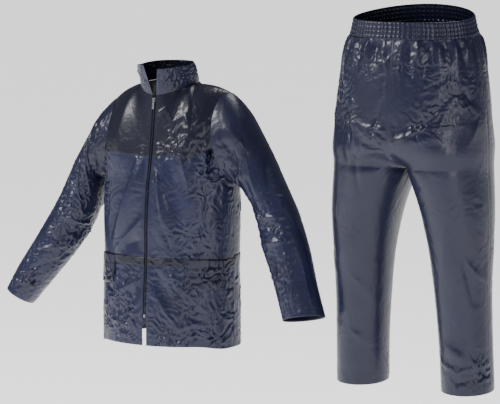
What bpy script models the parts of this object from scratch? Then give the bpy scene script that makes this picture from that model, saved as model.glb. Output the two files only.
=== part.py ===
"""Two-piece rain suit, hollow as it hangs on a wearer: a zipped jacket and elasticated trousers.

Metres, +Z up, both garments face -Y. The origin is the centre of the jacket's neck, level
with the inner ends of its shoulder seams. +X is the wearer's left.
"""

import math
from collections import namedtuple

import bmesh
import bpy
import numpy as np
from mathutils import Matrix, Vector

# Cloth and seams
CLOTH = 0.0012
SEAM_GAP = 0.0007
SHOULDER_SET_IN = 0.0008
TUCK_GAP = 0.0005
NAVY = (0.030, 0.034, 0.075, 1.0)
NAVY_DARK = (0.018, 0.020, 0.045, 1.0)
ZIP_TAPE = (0.020, 0.022, 0.040, 1.0)
ZIP_METAL = (0.22, 0.22, 0.24, 1.0)

# Jacket
NECK_HALF_WIDTH = 0.080
NECK_CENTRE_Y = 0.012
NECK_FRONT_DEPTH = 0.093
NECK_BACK_DEPTH = 0.076
NECK_FRONT_DROP = 0.030
NECK_BACK_RISE = 0.010
SHOULDER_X = 0.204
SHOULDER_Y = 0.020
SHOULDER_ROUND = 0.008
ARMHOLE_FRONT = 0.088
ARMHOLE_BACK = 0.080
ARMHOLE_HALF_GIRTH = 0.23
BODY_SQUARENESS = 0.90
CHEST_SQUARENESS = 0.66
HEM_SIDE_DROP = 0.012
HEM_TILT = 0.005
SIDE_SEAM_Y = 0.012
CHEST_HOLLOW = -0.30
FRONT_EDGE = 0.0062
NECK_COLUMNS = 5
FRONT_COLUMNS = 14
YOKE_ROWS = 10
NECK_SHARE = NECK_COLUMNS / FRONT_COLUMNS
FOLD_FADE_AT_SIDE = 0.12
FOLD_FADE_AT_TOP = 0.18
FOLD_FADE_AT_ZIP = 0.06

TorsoSection = namedtuple("TorsoSection", "z half_width front_depth back_depth")
TORSO = (
    TorsoSection(-0.742, 0.2115, 0.142, 0.142),
    TorsoSection(-0.640, 0.2110, 0.141, 0.142),
    TorsoSection(-0.500, 0.2085, 0.131, 0.138),
    TorsoSection(-0.380, 0.2110, 0.129, 0.140),
    TorsoSection(-0.275, 0.2090, 0.118, 0.140),
)
HEM_Z = TORSO[0].z
ARMPIT_Z = TORSO[-1].z
FLAP_BOTTOM_Z = -0.572
CASING_BOTTOM_Z = -0.510
CASING_TOP_Z = -0.487
BODY_LEVELS = (
    HEM_Z, -0.700, -0.657, -0.614, FLAP_BOTTOM_Z, -0.541, CASING_BOTTOM_Z,
    CASING_TOP_Z, -0.450, -0.414, -0.379, -0.344, -0.309,
)

# Each sleeve's outer and inner lines from the armhole to the cuff, and half its depth
SleeveStation = namedtuple(
    "SleeveStation", "share outer_x outer_y outer_z inner_x inner_y inner_z half_depth"
)
LEFT_SLEEVE = (
    SleeveStation(0.00, 0.204, 0.020, -0.026, 0.210, 0.012, -0.275, 0.080),
    SleeveStation(0.10, 0.232, 0.024, -0.050, 0.224, 0.014, -0.281, 0.078),
    SleeveStation(0.25, 0.296, 0.024, -0.153, 0.238, 0.014, -0.290, 0.074),
    SleeveStation(0.41, 0.358, 0.012, -0.251, 0.256, 0.008, -0.307, 0.068),
    SleeveStation(0.56, 0.415, -0.006, -0.335, 0.297, -0.006, -0.367, 0.062),
    SleeveStation(0.71, 0.466, -0.030, -0.428, 0.339, -0.030, -0.461, 0.055),
    SleeveStation(0.89, 0.515, -0.058, -0.549, 0.390, -0.058, -0.575, 0.046),
    SleeveStation(1.00, 0.549, -0.078, -0.620, 0.421, -0.078, -0.646, 0.041),
)
RIGHT_SLEEVE = (
    SleeveStation(0.00, 0.204, 0.020, -0.066, 0.210, 0.012, -0.275, 0.080),
    SleeveStation(0.12, 0.226, 0.026, -0.096, 0.225, 0.014, -0.288, 0.080),
    SleeveStation(0.27, 0.272, 0.024, -0.155, 0.236, 0.014, -0.322, 0.077),
    SleeveStation(0.42, 0.321, 0.012, -0.236, 0.248, 0.008, -0.372, 0.073),
    SleeveStation(0.58, 0.364, -0.006, -0.338, 0.268, -0.006, -0.430, 0.069),
    SleeveStation(0.74, 0.414, -0.030, -0.441, 0.311, -0.030, -0.505, 0.065),
    SleeveStation(0.89, 0.476, -0.058, -0.551, 0.385, -0.058, -0.601, 0.062),
    SleeveStation(1.00, 0.507, -0.078, -0.622, 0.436, -0.078, -0.665, 0.061),
)
SLEEVES = {1: LEFT_SLEEVE, -1: RIGHT_SLEEVE}
SLEEVE_RINGS = 15
SLEEVE_LENGTH = 0.68
SLEEVE_GIRTH = 0.45
SLEEVE_SET_OUT = 0.0014
UNDERARM_SET_OUT = 0.0010
SLEEVE_JOIN_SHARE = 0.16

# Stand collar
COLLAR_WALL = 0.0024
COLLAR_TOP_HALF_WIDTH = 0.074
COLLAR_TOP_CENTRE_Y = -0.016
COLLAR_TOP_FRONT_DEPTH = 0.098
COLLAR_TOP_BACK_DEPTH = 0.090
COLLAR_TOP_FRONT_Z = 0.046
COLLAR_TOP_BACK_Z = 0.060
COLLAR_BULGE = 0.004
COLLAR_COLUMNS = 15
COLLAR_ROWS = 3
CollarFront = namedtuple("CollarFront", "top_angle lift lean")
COLLAR_FRONTS = {
    1: CollarFront(0.33, 0.000, 0.004),
    -1: CollarFront(0.19, 0.012, -0.006),
}

# Zip
ZIP_BOTTOM_Z = -0.661
ZIP_TOP_BELOW_NECK = 0.004
COIL_RADIUS = 0.0024
COIL_SINK = 0.0014
COIL_POINTS = 15
TAPE_ROWS = 24
TAPE_INNER = 0.0030
TAPE_OUTER = 0.0170
TAPE_WALL = 0.0008
TAPE_INSET = 0.0034
SLIDER_LENGTH = 0.0125
SLIDER_WIDTH = 0.0088
SLIDER_HEIGHT = 0.0034
SLIDER_BELOW_NECK = 0.014
SLIDER_SINK = 0.0004
EAR_THICKNESS = 0.0011
EAR_LENGTH = 0.0040
EAR_HEIGHT = 0.0056
EAR_LIFT = 0.0046
EAR_ALONG = 0.0030
PIN_RADIUS = 0.0007
PIN_CLEARANCE = 0.0003
PULL_LENGTH = 0.030
PULL_WIDTH = 0.0066
PULL_WALL = 0.0012
PULL_PLAY = 0.0010
BOX_WIDTH = 0.0074
BOX_LENGTH = 0.009
BOX_HEIGHT = 0.0036
BOX_SINK = 0.0012

# Drawcord casing round the hips, and the pocket flaps over it
CASING_STAND_OFF = TUCK_GAP + CLOTH
FLAP_STAND_OFF = CASING_STAND_OFF + TUCK_GAP + CLOTH
FLAP_FROM_COLUMN = 5
FLAP_TO_COLUMN = 12

# Trousers
TROUSER_X = 0.778
WAIST_Z = 0.211
BAND_BOTTOM = -0.046
WAIST_TILT = 0.019
WAIST_BACK_RISE = 0.009
RIBS = 84
RIB_HEIGHT = 0.0011
WAISTBAND_WALL = 0.0018
CROTCH_Z = -0.412
FRONT_FORK_Z = -0.285
BACK_FORK_Z = -0.265
HEM_FRONT_DROP = 0.006
LEG_SQUARENESS = 0.94
HIP_SQUARENESS = 0.92
FORK_FULLNESS = 0.15
LEG_COLUMNS = 11
LEG_ROWS = 13
FORK_ROWS = 5
HIP_ROWS = 6
GATHERS_A_PANEL = 5
GATHER_HEIGHT = 0.0042
GATHER_REACH = 0.13
FOLD_FADE_ON_LEG = 0.1

LegSection = namedtuple(
    "LegSection", "z centre_x centre_y half_width front_depth back_depth"
)
LEG = (
    LegSection(-1.014, 0.161, 0.024, 0.0715, 0.074, 0.076),
    LegSection(-0.900, 0.158, 0.018, 0.0720, 0.076, 0.078),
    LegSection(-0.760, 0.152, 0.010, 0.0760, 0.081, 0.084),
    LegSection(-0.640, 0.147, 0.004, 0.0835, 0.094, 0.098),
    LegSection(-0.520, 0.135, 0.002, 0.0965, 0.113, 0.120),
    LegSection(-0.412, 0.1120, 0.004, 0.1116, 0.134, 0.140),
)
HipSection = namedtuple("HipSection", "z half_width front_depth back_depth")
HIPS = (
    HipSection(-0.412, 0.2240, 0.140, 0.150),
    HipSection(-0.360, 0.2250, 0.150, 0.160),
    HipSection(-0.265, 0.2200, 0.154, 0.166),
    HipSection(-0.160, 0.2090, 0.146, 0.156),
    HipSection(-0.080, 0.1950, 0.134, 0.142),
    HipSection(-0.046, 0.1830, 0.126, 0.130),
    HipSection(0.000, 0.1720, 0.119, 0.121),
)

# Largest folds: a ridge or trough from one point to another of the front or back view
Fold = namedtuple("Fold", "x1 z1 x2 z2 width height")
JACKET_FOLDS = {}
JACKET_FOLDS[-1] = (
    Fold(-0.020, -0.20, -0.105, -0.45, 0.026, 0.0070),
    Fold(-0.055, -0.20, -0.150, -0.42, 0.024, -0.0050),
    Fold(-0.015, -0.34, -0.080, -0.46, 0.022, -0.0050),
    Fold(0.018, -0.20, 0.060, -0.45, 0.024, 0.0060),
    Fold(0.060, -0.22, 0.110, -0.44, 0.024, -0.0050),
    Fold(0.105, -0.18, 0.165, -0.40, 0.026, 0.0060),
    Fold(0.170, -0.13, 0.115, -0.24, 0.022, -0.0050),
    Fold(0.060, -0.55, 0.135, -0.70, 0.026, 0.0060),
    Fold(0.030, -0.52, 0.090, -0.66, 0.024, -0.0060),
    Fold(-0.060, -0.56, -0.150, -0.66, 0.026, 0.0050),
    Fold(-0.155, -0.10, -0.160, -0.27, 0.018, 0.0040),
)
JACKET_FOLDS[1] = (
    Fold(-0.130, -0.14, -0.060, -0.30, 0.028, 0.0060),
    Fold(0.130, -0.12, 0.065, -0.29, 0.028, 0.0060),
    Fold(-0.090, -0.34, -0.120, -0.60, 0.030, -0.0055),
    Fold(0.010, -0.30, 0.030, -0.56, 0.030, 0.0055),
    Fold(0.110, -0.36, 0.085, -0.66, 0.028, -0.0055),
    Fold(-0.030, -0.52, -0.050, -0.71, 0.028, 0.0050),
)
TROUSER_FOLDS = {}
TROUSER_FOLDS[-1] = (
    Fold(-0.165, -0.20, -0.150, -0.47, 0.024, -0.0070),
    Fold(-0.020, -0.33, -0.130, -0.27, 0.020, 0.0060),
    Fold(-0.020, -0.37, -0.110, -0.40, 0.018, -0.0060),
    Fold(0.025, -0.33, 0.140, -0.31, 0.018, 0.0050),
    Fold(0.020, -0.36, 0.090, -0.44, 0.022, 0.0050),
    Fold(0.175, -0.56, 0.215, -0.70, 0.024, -0.0065),
    Fold(0.120, -0.88, 0.205, -0.93, 0.016, 0.0040),
    Fold(-0.120, -0.60, -0.190, -0.68, 0.024, 0.0045),
)
TROUSER_FOLDS[1] = (
    Fold(-0.030, -0.34, -0.150, -0.28, 0.022, 0.0060),
    Fold(0.030, -0.35, 0.150, -0.30, 0.022, 0.0060),
    Fold(-0.040, -0.41, -0.170, -0.45, 0.022, -0.0060),
    Fold(0.040, -0.42, 0.160, -0.47, 0.022, -0.0060),
    Fold(-0.110, -0.64, -0.200, -0.61, 0.022, 0.0050),
    Fold(0.110, -0.65, 0.200, -0.62, 0.022, 0.0050),
)
# Sleeve folds run from one share of the length and turn round the arm to another
SleeveFold = namedtuple("SleeveFold", "share1 turn1 share2 turn2 width height")
SLEEVE_FOLDS = {
    1: (
        SleeveFold(0.08, 0.30, 0.30, 0.22, 0.020, -0.0050),
        SleeveFold(0.12, 0.42, 0.34, 0.30, 0.020, 0.0050),
        SleeveFold(0.48, 0.44, 0.66, 0.20, 0.018, -0.0045),
        SleeveFold(0.60, 0.48, 0.92, 0.28, 0.020, 0.0045),
        SleeveFold(0.50, 0.62, 0.66, 0.86, 0.022, 0.0045),
    ),
    -1: (
        SleeveFold(0.06, 0.34, 0.28, 0.24, 0.020, 0.0050),
        SleeveFold(0.10, 0.44, 0.36, 0.32, 0.020, -0.0050),
        SleeveFold(0.46, 0.46, 0.62, 0.24, 0.020, 0.0045),
        SleeveFold(0.62, 0.44, 0.80, 0.20, 0.018, -0.0045),
        SleeveFold(0.48, 0.64, 0.70, 0.84, 0.022, -0.0045),
    ),
}


def hermite(keys, values, key):
    """Smooth curve through the table's values."""
    slopes = np.gradient(values, keys)
    right = int(np.clip(np.searchsorted(keys, key), 1, len(keys) - 1))
    left = right - 1
    span = keys[right] - keys[left]
    t = min(max((key - keys[left]) / span, 0.0), 1.0)
    return (
        (2 * t**3 - 3 * t**2 + 1) * values[left]
        + (t**3 - 2 * t**2 + t) * span * slopes[left]
        + (3 * t**2 - 2 * t**3) * values[right]
        + (t**3 - t**2) * span * slopes[right]
    )


def row_at(table, key):
    """The table's row at a key between its rows."""
    columns = list(zip(*table))
    return type(table[0])(*(hermite(columns[0], column, key) for column in columns))


def mix(a, b, share):
    return a + (b - a) * share


def ease(x):
    x = min(max(x, 0.0), 1.0)
    return x * x * (3 - 2 * x)


def power(x, exponent):
    return max(x, 0.0) ** exponent


def segment_relief(x, z, x1, z1, x2, z2, width, height):
    """Height of one soft fold at a point, fading at its two ends."""
    along = Vector((x2 - x1, z2 - z1))
    offset = Vector((x - x1, z - z1))
    share = offset.dot(along) / along.length_squared
    nearest = along * min(max(share, 0.0), 1.0)
    distance = (offset - nearest).length
    fade = 0.35 + 0.65 * math.sin(math.pi * min(max(share, 0.0), 1.0))
    return height * fade * math.exp(-((distance / width) ** 2))


def fold_relief(folds, x, z):
    return sum(segment_relief(x, z, *fold) for fold in folds)


def raised(point, u, v, height):
    """The surface point at (u, v), moved out along the surface's normal."""
    step = 0.004
    here = point(u, v)
    across = point(min(u + step, 1.0), v) - point(max(u - step, 0.0), v)
    along = point(u, min(v + step, 1.0)) - point(u, max(v - step, 0.0))
    return here + across.cross(along).normalized() * height


def seam_ends(row_point, gap=SEAM_GAP / 2):
    """The first and last shares of a row, set in from the seams by half their gap."""
    step = 0.01
    first = (row_point(step) - row_point(0.0)).length / step
    last = (row_point(1.0) - row_point(1.0 - step)).length / step
    return gap / first, 1.0 - gap / last


def material(name, colour, roughness, metallic=0.0):
    made = bpy.data.materials.new(name)
    made.use_nodes = True
    shader = made.node_tree.nodes["Principled BSDF"]
    shader.inputs["Base Color"].default_value = colour
    shader.inputs["Roughness"].default_value = roughness
    shader.inputs["Metallic"].default_value = metallic
    made.diffuse_color = colour
    return made


def new_object(name, mesh, collection, finish):
    made = bpy.data.objects.new(name, mesh)
    collection.objects.link(made)
    made.data.materials.append(finish)
    made.data.shade_smooth()
    return made


def cloth_object(name, rows, collection, finish, wall=CLOTH, closed=False, flip=False):
    """A loft through rows of points, thickened inwards into a wall of cloth."""
    made = bmesh.new()
    grid = [[made.verts.new(point) for point in row] for row in rows]
    count = len(grid[0])
    for below, above in zip(grid, grid[1:]):
        for i in range(count if closed else count - 1):
            j = (i + 1) % count
            corners = [below[i], below[j], above[j], above[i]]
            made.faces.new(reversed(corners) if flip else corners)
    mesh = bpy.data.meshes.new(name)
    made.to_mesh(mesh)
    made.free()
    loft = new_object(name, mesh, collection, finish)
    solidify = loft.modifiers.new("Cloth wall", "SOLIDIFY")
    solidify.thickness = wall
    solidify.offset = -1.0
    return loft


def neck_point(angle, side):
    """The neck seam: angle 0 at the front centre, pi at the back centre."""
    front = math.cos(angle) > 0
    depth = NECK_FRONT_DEPTH if front else NECK_BACK_DEPTH
    rise = -NECK_FRONT_DROP if front else NECK_BACK_RISE
    return Vector(
        (
            side * NECK_HALF_WIDTH * math.sin(angle),
            NECK_CENTRE_Y - depth * math.cos(angle),
            rise * abs(math.cos(angle)) ** 1.5,
        )
    )


def top_edge(share, side, face):
    """The upper edge of a front or back: the neck seam, then the shoulder seam."""
    if share <= NECK_SHARE:
        quarter = share / NECK_SHARE * math.pi / 2
        return neck_point(quarter if face < 0 else math.pi - quarter, side)
    along = (share - NECK_SHARE) / (1 - NECK_SHARE)
    tip = SLEEVES[side][0]
    return Vector(
        (
            side * mix(NECK_HALF_WIDTH, SHOULDER_X, along),
            mix(NECK_CENTRE_Y, SHOULDER_Y, along),
            mix(0.0, tip.outer_z, along) + SHOULDER_ROUND * math.sin(math.pi * along),
        )
    )


def body_ring(share, z, side, face, exponent=BODY_SQUARENESS):
    """A quarter of the body's section, from the front or back centre to the side seam."""
    section = row_at(TORSO, z)
    angle = share * math.pi / 2
    depth = section.front_depth if face < 0 else section.back_depth
    return Vector(
        (
            side * section.half_width * power(math.sin(angle), exponent),
            face * depth * power(math.cos(angle), exponent) + SIDE_SEAM_Y * share,
            z,
        )
    )


def jacket_surface(share, height, side, face):
    """The jacket's body before the armhole is cut. Height 0 is the hem, 1 the armpit, 2 the top."""
    if height <= 1.0:
        z = mix(HEM_Z, ARMPIT_Z, height)
        point = body_ring(share, z, side, face)
        drop = HEM_SIDE_DROP * ease((share - 0.45) / 0.4) - side * share * HEM_TILT
        point.z -= drop * (1.0 - height)
        return point
    rise = height - 1.0
    exponent = mix(BODY_SQUARENESS, CHEST_SQUARENESS, ease(rise / 0.35))
    low = body_ring(share, ARMPIT_Z, side, face, exponent)
    high = top_edge(share, side, face)
    rounding = mix(CHEST_HOLLOW, 1.0, ease(share / NECK_SHARE))
    quarter = rise * math.pi / 2
    inward = mix(rise, 1 - math.cos(quarter), rounding)
    upward = mix(rise, math.sin(quarter), rounding)
    return Vector(
        (
            mix(low.x, high.x, mix(rise, inward, 0.5)),
            mix(low.y, high.y, inward),
            mix(low.z, high.z, upward),
        )
    )


def armhole_share(height, face):
    """How far round the body a row reaches before the armhole cuts it."""
    if height <= 1.0:
        return 1.0
    upward = math.sin((height - 1.0) * math.pi / 2)
    opening = 2 * math.sqrt(max(upward * (1 - upward), 0.0))
    reach = ARMHOLE_FRONT if face < 0 else ARMHOLE_BACK
    return 1.0 - reach / ARMHOLE_HALF_GIRTH * opening


def panel_point(u, height, side, face):
    """A point of a front or half back. The folds die out at its seams."""
    reach = armhole_share(height, face)

    def surface(across, up):
        return jacket_surface(across * armhole_share(up * 2.0, face), up * 2.0, side, face)

    base = jacket_surface(u * reach, height, side, face)
    at_side = ease((1.0 - u) / FOLD_FADE_AT_SIDE)
    at_top = ease((2.0 - height) / FOLD_FADE_AT_TOP)
    at_front = ease(u / FOLD_FADE_AT_ZIP) if face < 0 else 1.0
    relief = fold_relief(JACKET_FOLDS[face], base.x, base.z) * at_side * at_top * at_front
    return raised(surface, u, height / 2.0, -side * face * relief)


def yoke_heights():
    """Rows from armpit to shoulder, spaced so that the armhole's points lie evenly round it."""
    turns = [math.pi * i / YOKE_ROWS for i in range(YOKE_ROWS + 1)]
    return [1.0 + math.asin((1 - math.cos(turn)) / 2) * 2 / math.pi for turn in turns]


def panel_heights():
    return [(z - HEM_Z) / (ARMPIT_Z - HEM_Z) for z in BODY_LEVELS] + yoke_heights()


def front_edge(z):
    """How far each front's edge stays from the centre: wider where the zip ends."""
    return FRONT_EDGE - 0.0010 * ease((z - ZIP_BOTTOM_Z) / 0.02)


def set_in_top(row, face):
    """Sets a panel's top row in from the collar and from the shoulder seam."""
    for i, point in enumerate(row):
        if i <= NECK_COLUMNS:
            point.z -= SEAM_GAP / 2
        if i >= NECK_COLUMNS:
            point.y += face * SHOULDER_SET_IN


def half_panel_rows(side, face):
    """Rows of a front or half back, from its centre line to the side seam and armhole."""
    rows = []
    for height in panel_heights():

        def row_point(u, height=height):
            return panel_point(u, height, side, face)

        _, last = seam_ends(row_point)
        rows.append([row_point(last * i / FRONT_COLUMNS) for i in range(FRONT_COLUMNS + 1)])
    set_in_top(rows[-1], face)
    return rows


def front_rows(side):
    rows = half_panel_rows(side, -1)
    for row in rows:
        for i, point in enumerate(row[:NECK_COLUMNS]):
            point.x += side * front_edge(point.z) * (1 - i / NECK_COLUMNS)
    return rows


def back_rows():
    right = half_panel_rows(-1, 1)
    left = half_panel_rows(1, 1)
    return [list(reversed(r)) + l[1:] for r, l in zip(right, left)]


def armhole_ring(side):
    """The armhole's edge, from the shoulder tip down the front and up the back."""
    heights = yoke_heights()
    front = [jacket_surface(armhole_share(h, -1), h, side, -1) for h in reversed(heights)]
    back = [jacket_surface(armhole_share(h, 1), h, side, 1) for h in heights]
    return front + back[1:-1]


def sleeve_axis(side, share):
    """The sleeve's centre, its half width towards the outer line, and its half depth."""
    station = row_at(SLEEVES[side], share)
    outer = Vector((side * station.outer_x, station.outer_y, station.outer_z))
    inner = Vector((side * station.inner_x, station.inner_y, station.inner_z))
    return (outer + inner) / 2, (outer - inner) / 2, station.half_depth


def sleeve_front(side, share):
    """The direction of the sleeve's front, square to its width and its length."""
    before = sleeve_axis(side, max(share - 0.05, 0.0))[0]
    after = sleeve_axis(side, min(share + 0.05, 1.0))[0]
    width = sleeve_axis(side, share)[1]
    return (after - before).cross(width).normalized() * side


def sleeve_point(side, share, turn, edge):
    """A point of the sleeve. Turn 0 is its outer line and 0.25 its front."""
    centre, width, depth = sleeve_axis(side, share)
    angle = turn * 2 * math.pi
    front = sleeve_front(side, share)
    ring = centre + width * math.cos(angle) + front * depth * math.sin(angle)
    return edge.lerp(ring, ease(share / SLEEVE_JOIN_SHARE))


def sleeve_rows(side):
    """Rings from the armhole to the cuff, with the folds raised along each ring's spokes."""
    edges = armhole_ring(side)
    rows = []
    for k in range(SLEEVE_RINGS + 1):
        share = k / SLEEVE_RINGS
        centre, _, _ = sleeve_axis(side, share)
        row = []
        for i, edge in enumerate(edges):
            turn = i / len(edges)
            point = sleeve_point(side, share, turn, edge)
            spoke = (point - centre).normalized()
            relief = sum(
                segment_relief(
                    turn * SLEEVE_GIRTH,
                    share * SLEEVE_LENGTH,
                    fold.turn1 * SLEEVE_GIRTH,
                    fold.share1 * SLEEVE_LENGTH,
                    fold.turn2 * SLEEVE_GIRTH,
                    fold.share2 * SLEEVE_LENGTH,
                    fold.width,
                    fold.height,
                )
                for fold in SLEEVE_FOLDS[side]
            )
            row.append(point + spoke * relief * ease(share / 0.1) * ease((1.0 - share) / 0.08))
        rows.append(row)
    for i, point in enumerate(rows[0]):
        lowness = (1 - math.cos(2 * math.pi * i / len(edges))) / 2
        point.x += side * (SLEEVE_SET_OUT + UNDERARM_SET_OUT * lowness)
    return rows


def collar_start():
    """The angle where the collar's front edge meets the neck seam."""
    return math.asin(front_edge(0.0) / NECK_HALF_WIDTH)


def collar_point(angle, height, side):
    """The collar. Angle 0 is the front centre, pi the back centre, height 0 the neck seam."""
    front = COLLAR_FRONTS[side]
    share = (angle - collar_start()) / (math.pi - collar_start())
    bottom = neck_point(angle, side)
    bottom.z += SEAM_GAP * 0.5
    top_angle = mix(front.top_angle, math.pi, share)
    facing = math.cos(top_angle) > 0
    depth = COLLAR_TOP_FRONT_DEPTH if facing else COLLAR_TOP_BACK_DEPTH
    near_front = ease(1.0 - share / 0.45)
    top_z = mix(COLLAR_TOP_BACK_Z, COLLAR_TOP_FRONT_Z, ease(1 - share / 0.8))
    top = Vector(
        (
            side * (COLLAR_TOP_HALF_WIDTH * math.sin(top_angle)),
            COLLAR_TOP_CENTRE_Y - depth * math.cos(top_angle) + front.lean * near_front,
            top_z + front.lift * near_front,
        )
    )
    point = bottom.lerp(top, height)
    bulge = COLLAR_BULGE * math.sin(math.pi * height) * math.sin(share * math.pi) ** 2
    outward = Vector((point.x, point.y - NECK_CENTRE_Y, 0.0)).normalized()
    return point + outward * bulge


def collar_rows():
    angles = [mix(collar_start(), math.pi, i / COLLAR_COLUMNS) for i in range(COLLAR_COLUMNS + 1)]
    rows = []
    for k in range(COLLAR_ROWS + 1):
        height = k / COLLAR_ROWS
        right = [collar_point(angle, height, -1) for angle in angles]
        left = [collar_point(angle, height, 1) for angle in reversed(angles[:-1])]
        rows.append(right + left)
    return rows


def front_centre(z):
    """The line of the zip, on the outer face of the fronts."""
    if z <= ARMPIT_Z:
        return jacket_surface(0.0, (z - HEM_Z) / (ARMPIT_Z - HEM_Z), 1, -1)
    low, high = 0.0, 1.0
    for _ in range(30):
        rise = (low + high) / 2
        if jacket_surface(0.0, 1.0 + rise, 1, -1).z < z:
            low = rise
        else:
            high = rise
    return jacket_surface(0.0, 1.0 + rise, 1, -1)


def zip_frame(z):
    """A point of the zip with its upward and outward directions."""
    point = front_centre(z)
    up = (front_centre(z + 0.004) - front_centre(z - 0.004)).normalized()
    outward = up.cross(Vector((1.0, 0.0, 0.0))).normalized()
    if outward.y > 0:
        outward.negate()
    return point, up, outward


def tape_rows(side):
    """A strip of zip tape under the edge of one front."""
    top = neck_point(0.0, 1).z - ZIP_TOP_BELOW_NECK
    rows = []
    for k in range(TAPE_ROWS + 1):
        z = mix(ZIP_BOTTOM_Z, top, k / TAPE_ROWS)
        point, _, outward = zip_frame(z)
        section = row_at(TORSO, min(z, ARMPIT_Z))
        row = []
        for x in (TAPE_INNER, TAPE_OUTER):
            sag = section.front_depth * (1 - math.sqrt(1 - (x / section.half_width) ** 2))
            row.append(point - outward * (TAPE_INSET + sag) + Vector((side * x, 0, 0)))
        rows.append(row)
    return rows


def coil_curve(collection, finish):
    """The closed teeth, a round cord between the two fronts, up to the slider."""
    top = slider_place()[0].z - SLIDER_LENGTH / 2 - 0.0006
    curve = bpy.data.curves.new("zip_coil", "CURVE")
    curve.dimensions = "3D"
    curve.bevel_depth = COIL_RADIUS
    curve.bevel_resolution = 1
    curve.use_fill_caps = True
    spline = curve.splines.new("POLY")
    bottom = ZIP_BOTTOM_Z + BOX_LENGTH + 0.0004
    spline.points.add(COIL_POINTS - 1)
    for i, place in enumerate(spline.points):
        point, _, outward = zip_frame(mix(bottom, top, i / (COIL_POINTS - 1)))
        place.co = (*(point - outward * COIL_SINK), 1.0)
    made = bpy.data.objects.new("zip_coil", curve)
    collection.objects.link(made)
    curve.materials.append(finish)
    return made


def slider_place():
    return zip_frame(neck_point(0.0, 1).z - SLIDER_BELOW_NECK)


def block(name, size, place, collection, finish, bevel=0.0006):
    """A small rounded block whose Y runs up the zip and whose Z points out of it."""
    mesh = bpy.data.meshes.new(name)
    made = bmesh.new()
    bmesh.ops.create_cube(made, size=1.0)
    bmesh.ops.scale(made, vec=size, verts=made.verts)
    made.to_mesh(mesh)
    made.free()
    solid = new_object(name, mesh, collection, finish)
    solid.matrix_world = place
    rounded = solid.modifiers.new("Rounded edges", "BEVEL")
    rounded.width = bevel
    rounded.segments = 1
    return solid


def zip_place(origin, up, outward, lift=0.0, along=0.0):
    """A matrix with its axes across, up and out of the zip."""
    across = up.cross(outward).normalized()
    turn = Matrix((across, up, outward)).transposed().to_4x4()
    return Matrix.Translation(origin + outward * lift + up * along) @ turn


def rod(name, radius, length, place, collection):
    """A short round bar along X, as a cutter or a pin to join."""
    mesh = bpy.data.meshes.new(name)
    made = bmesh.new()
    bmesh.ops.create_cone(
        made, cap_ends=True, segments=12, radius1=radius, radius2=radius, depth=length
    )
    made.transform(place @ Matrix.Rotation(math.pi / 2, 4, "Y"))
    made.to_mesh(mesh)
    made.free()
    solid = bpy.data.objects.new(name, mesh)
    collection.objects.link(solid)
    solid.hide_render = True
    solid.display_type = "WIRE"
    return solid


def combine(target, tool, operation):
    boolean = target.modifiers.new(tool.name, "BOOLEAN")
    boolean.object = tool
    boolean.operation = operation


def add_slider(collection, helpers, finish):
    """The slider, with two ears that carry the pull tab's pin."""
    origin, up, outward = slider_place()
    body = block(
        "zip_slider",
        (SLIDER_WIDTH, SLIDER_LENGTH, SLIDER_HEIGHT),
        zip_place(origin, up, outward, SLIDER_HEIGHT / 2 - SLIDER_SINK),
        collection,
        finish,
    )
    ear_place = zip_place(origin, up, outward, EAR_LIFT - 0.0010, EAR_ALONG)
    for side in (-1, 1):
        offset = Matrix.Translation((side * (PULL_WIDTH / 2 - 0.0002), 0, 0))
        ear = block(
            f"ear_{side + 1}",
            (EAR_THICKNESS, EAR_LENGTH, EAR_HEIGHT),
            ear_place @ offset,
            helpers,
            finish,
            0.0002,
        )
        ear.hide_render = True
        ear.display_type = "WIRE"
        combine(body, ear, "UNION")
    hole = rod(
        "pin_hole",
        PIN_RADIUS + PIN_CLEARANCE,
        0.02,
        zip_place(origin, up, outward, EAR_LIFT, EAR_ALONG),
        helpers,
    )
    combine(body, hole, "DIFFERENCE")
    return body


def add_pull(collection, helpers, finish):
    """The pull tab: a flat tongue on a cross pin, hanging down the zip."""
    origin, up, outward = slider_place()
    pivot = zip_place(origin, up, outward, EAR_LIFT, EAR_ALONG)
    anchor = bpy.data.objects.new("zip_pull_hinge", None)
    collection.objects.link(anchor)
    anchor.matrix_world = pivot
    neck = PULL_WIDTH - 2 * EAR_THICKNESS - PULL_PLAY
    tongue = block(
        "zip_pull", (neck, PULL_LENGTH, PULL_WALL), Matrix.Identity(4), collection, finish, 0.0003
    )
    tongue.parent = anchor
    tongue.location = (0, -PULL_LENGTH / 2 + 0.0006, 0)
    pad = block(
        "pull_pad",
        (PULL_WIDTH, PULL_LENGTH * 0.62, PULL_WALL * 1.25),
        pivot @ Matrix.Translation((0, -PULL_LENGTH * 0.66, 0)),
        helpers,
        finish,
        0.0004,
    )
    pin = rod("pull_pin", PIN_RADIUS, PULL_WIDTH + 0.0004, pivot, helpers)
    pad.hide_render = True
    pad.display_type = "WIRE"
    combine(tongue, pad, "UNION")
    combine(tongue, pin, "UNION")
    return tongue


def add_bottom_box(collection, finish):
    """The box that the zip's two halves start from."""
    origin, up, outward = zip_frame(ZIP_BOTTOM_Z + BOX_LENGTH / 2)
    place = zip_place(origin, up, outward, -BOX_SINK)
    return block("zip_box", (BOX_WIDTH, BOX_LENGTH, BOX_HEIGHT), place, collection, finish)


def moved_out(rows, distance):
    """The rows moved out along the surface's normals, away from the body."""
    moved = []
    for k, row in enumerate(rows):
        below = rows[max(k - 1, 0)]
        above = rows[min(k + 1, len(rows) - 1)]
        line = []
        for i, point in enumerate(row):
            across = row[min(i + 1, len(row) - 1)] - row[max(i - 1, 0)]
            normal = across.cross(above[i] - below[i]).normalized()
            outside = Vector((point.x, point.y - SIDE_SEAM_Y, 0.0))
            line.append(point + normal * distance * (1 if normal.dot(outside) > 0 else -1))
        moved.append(line)
    return moved


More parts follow.
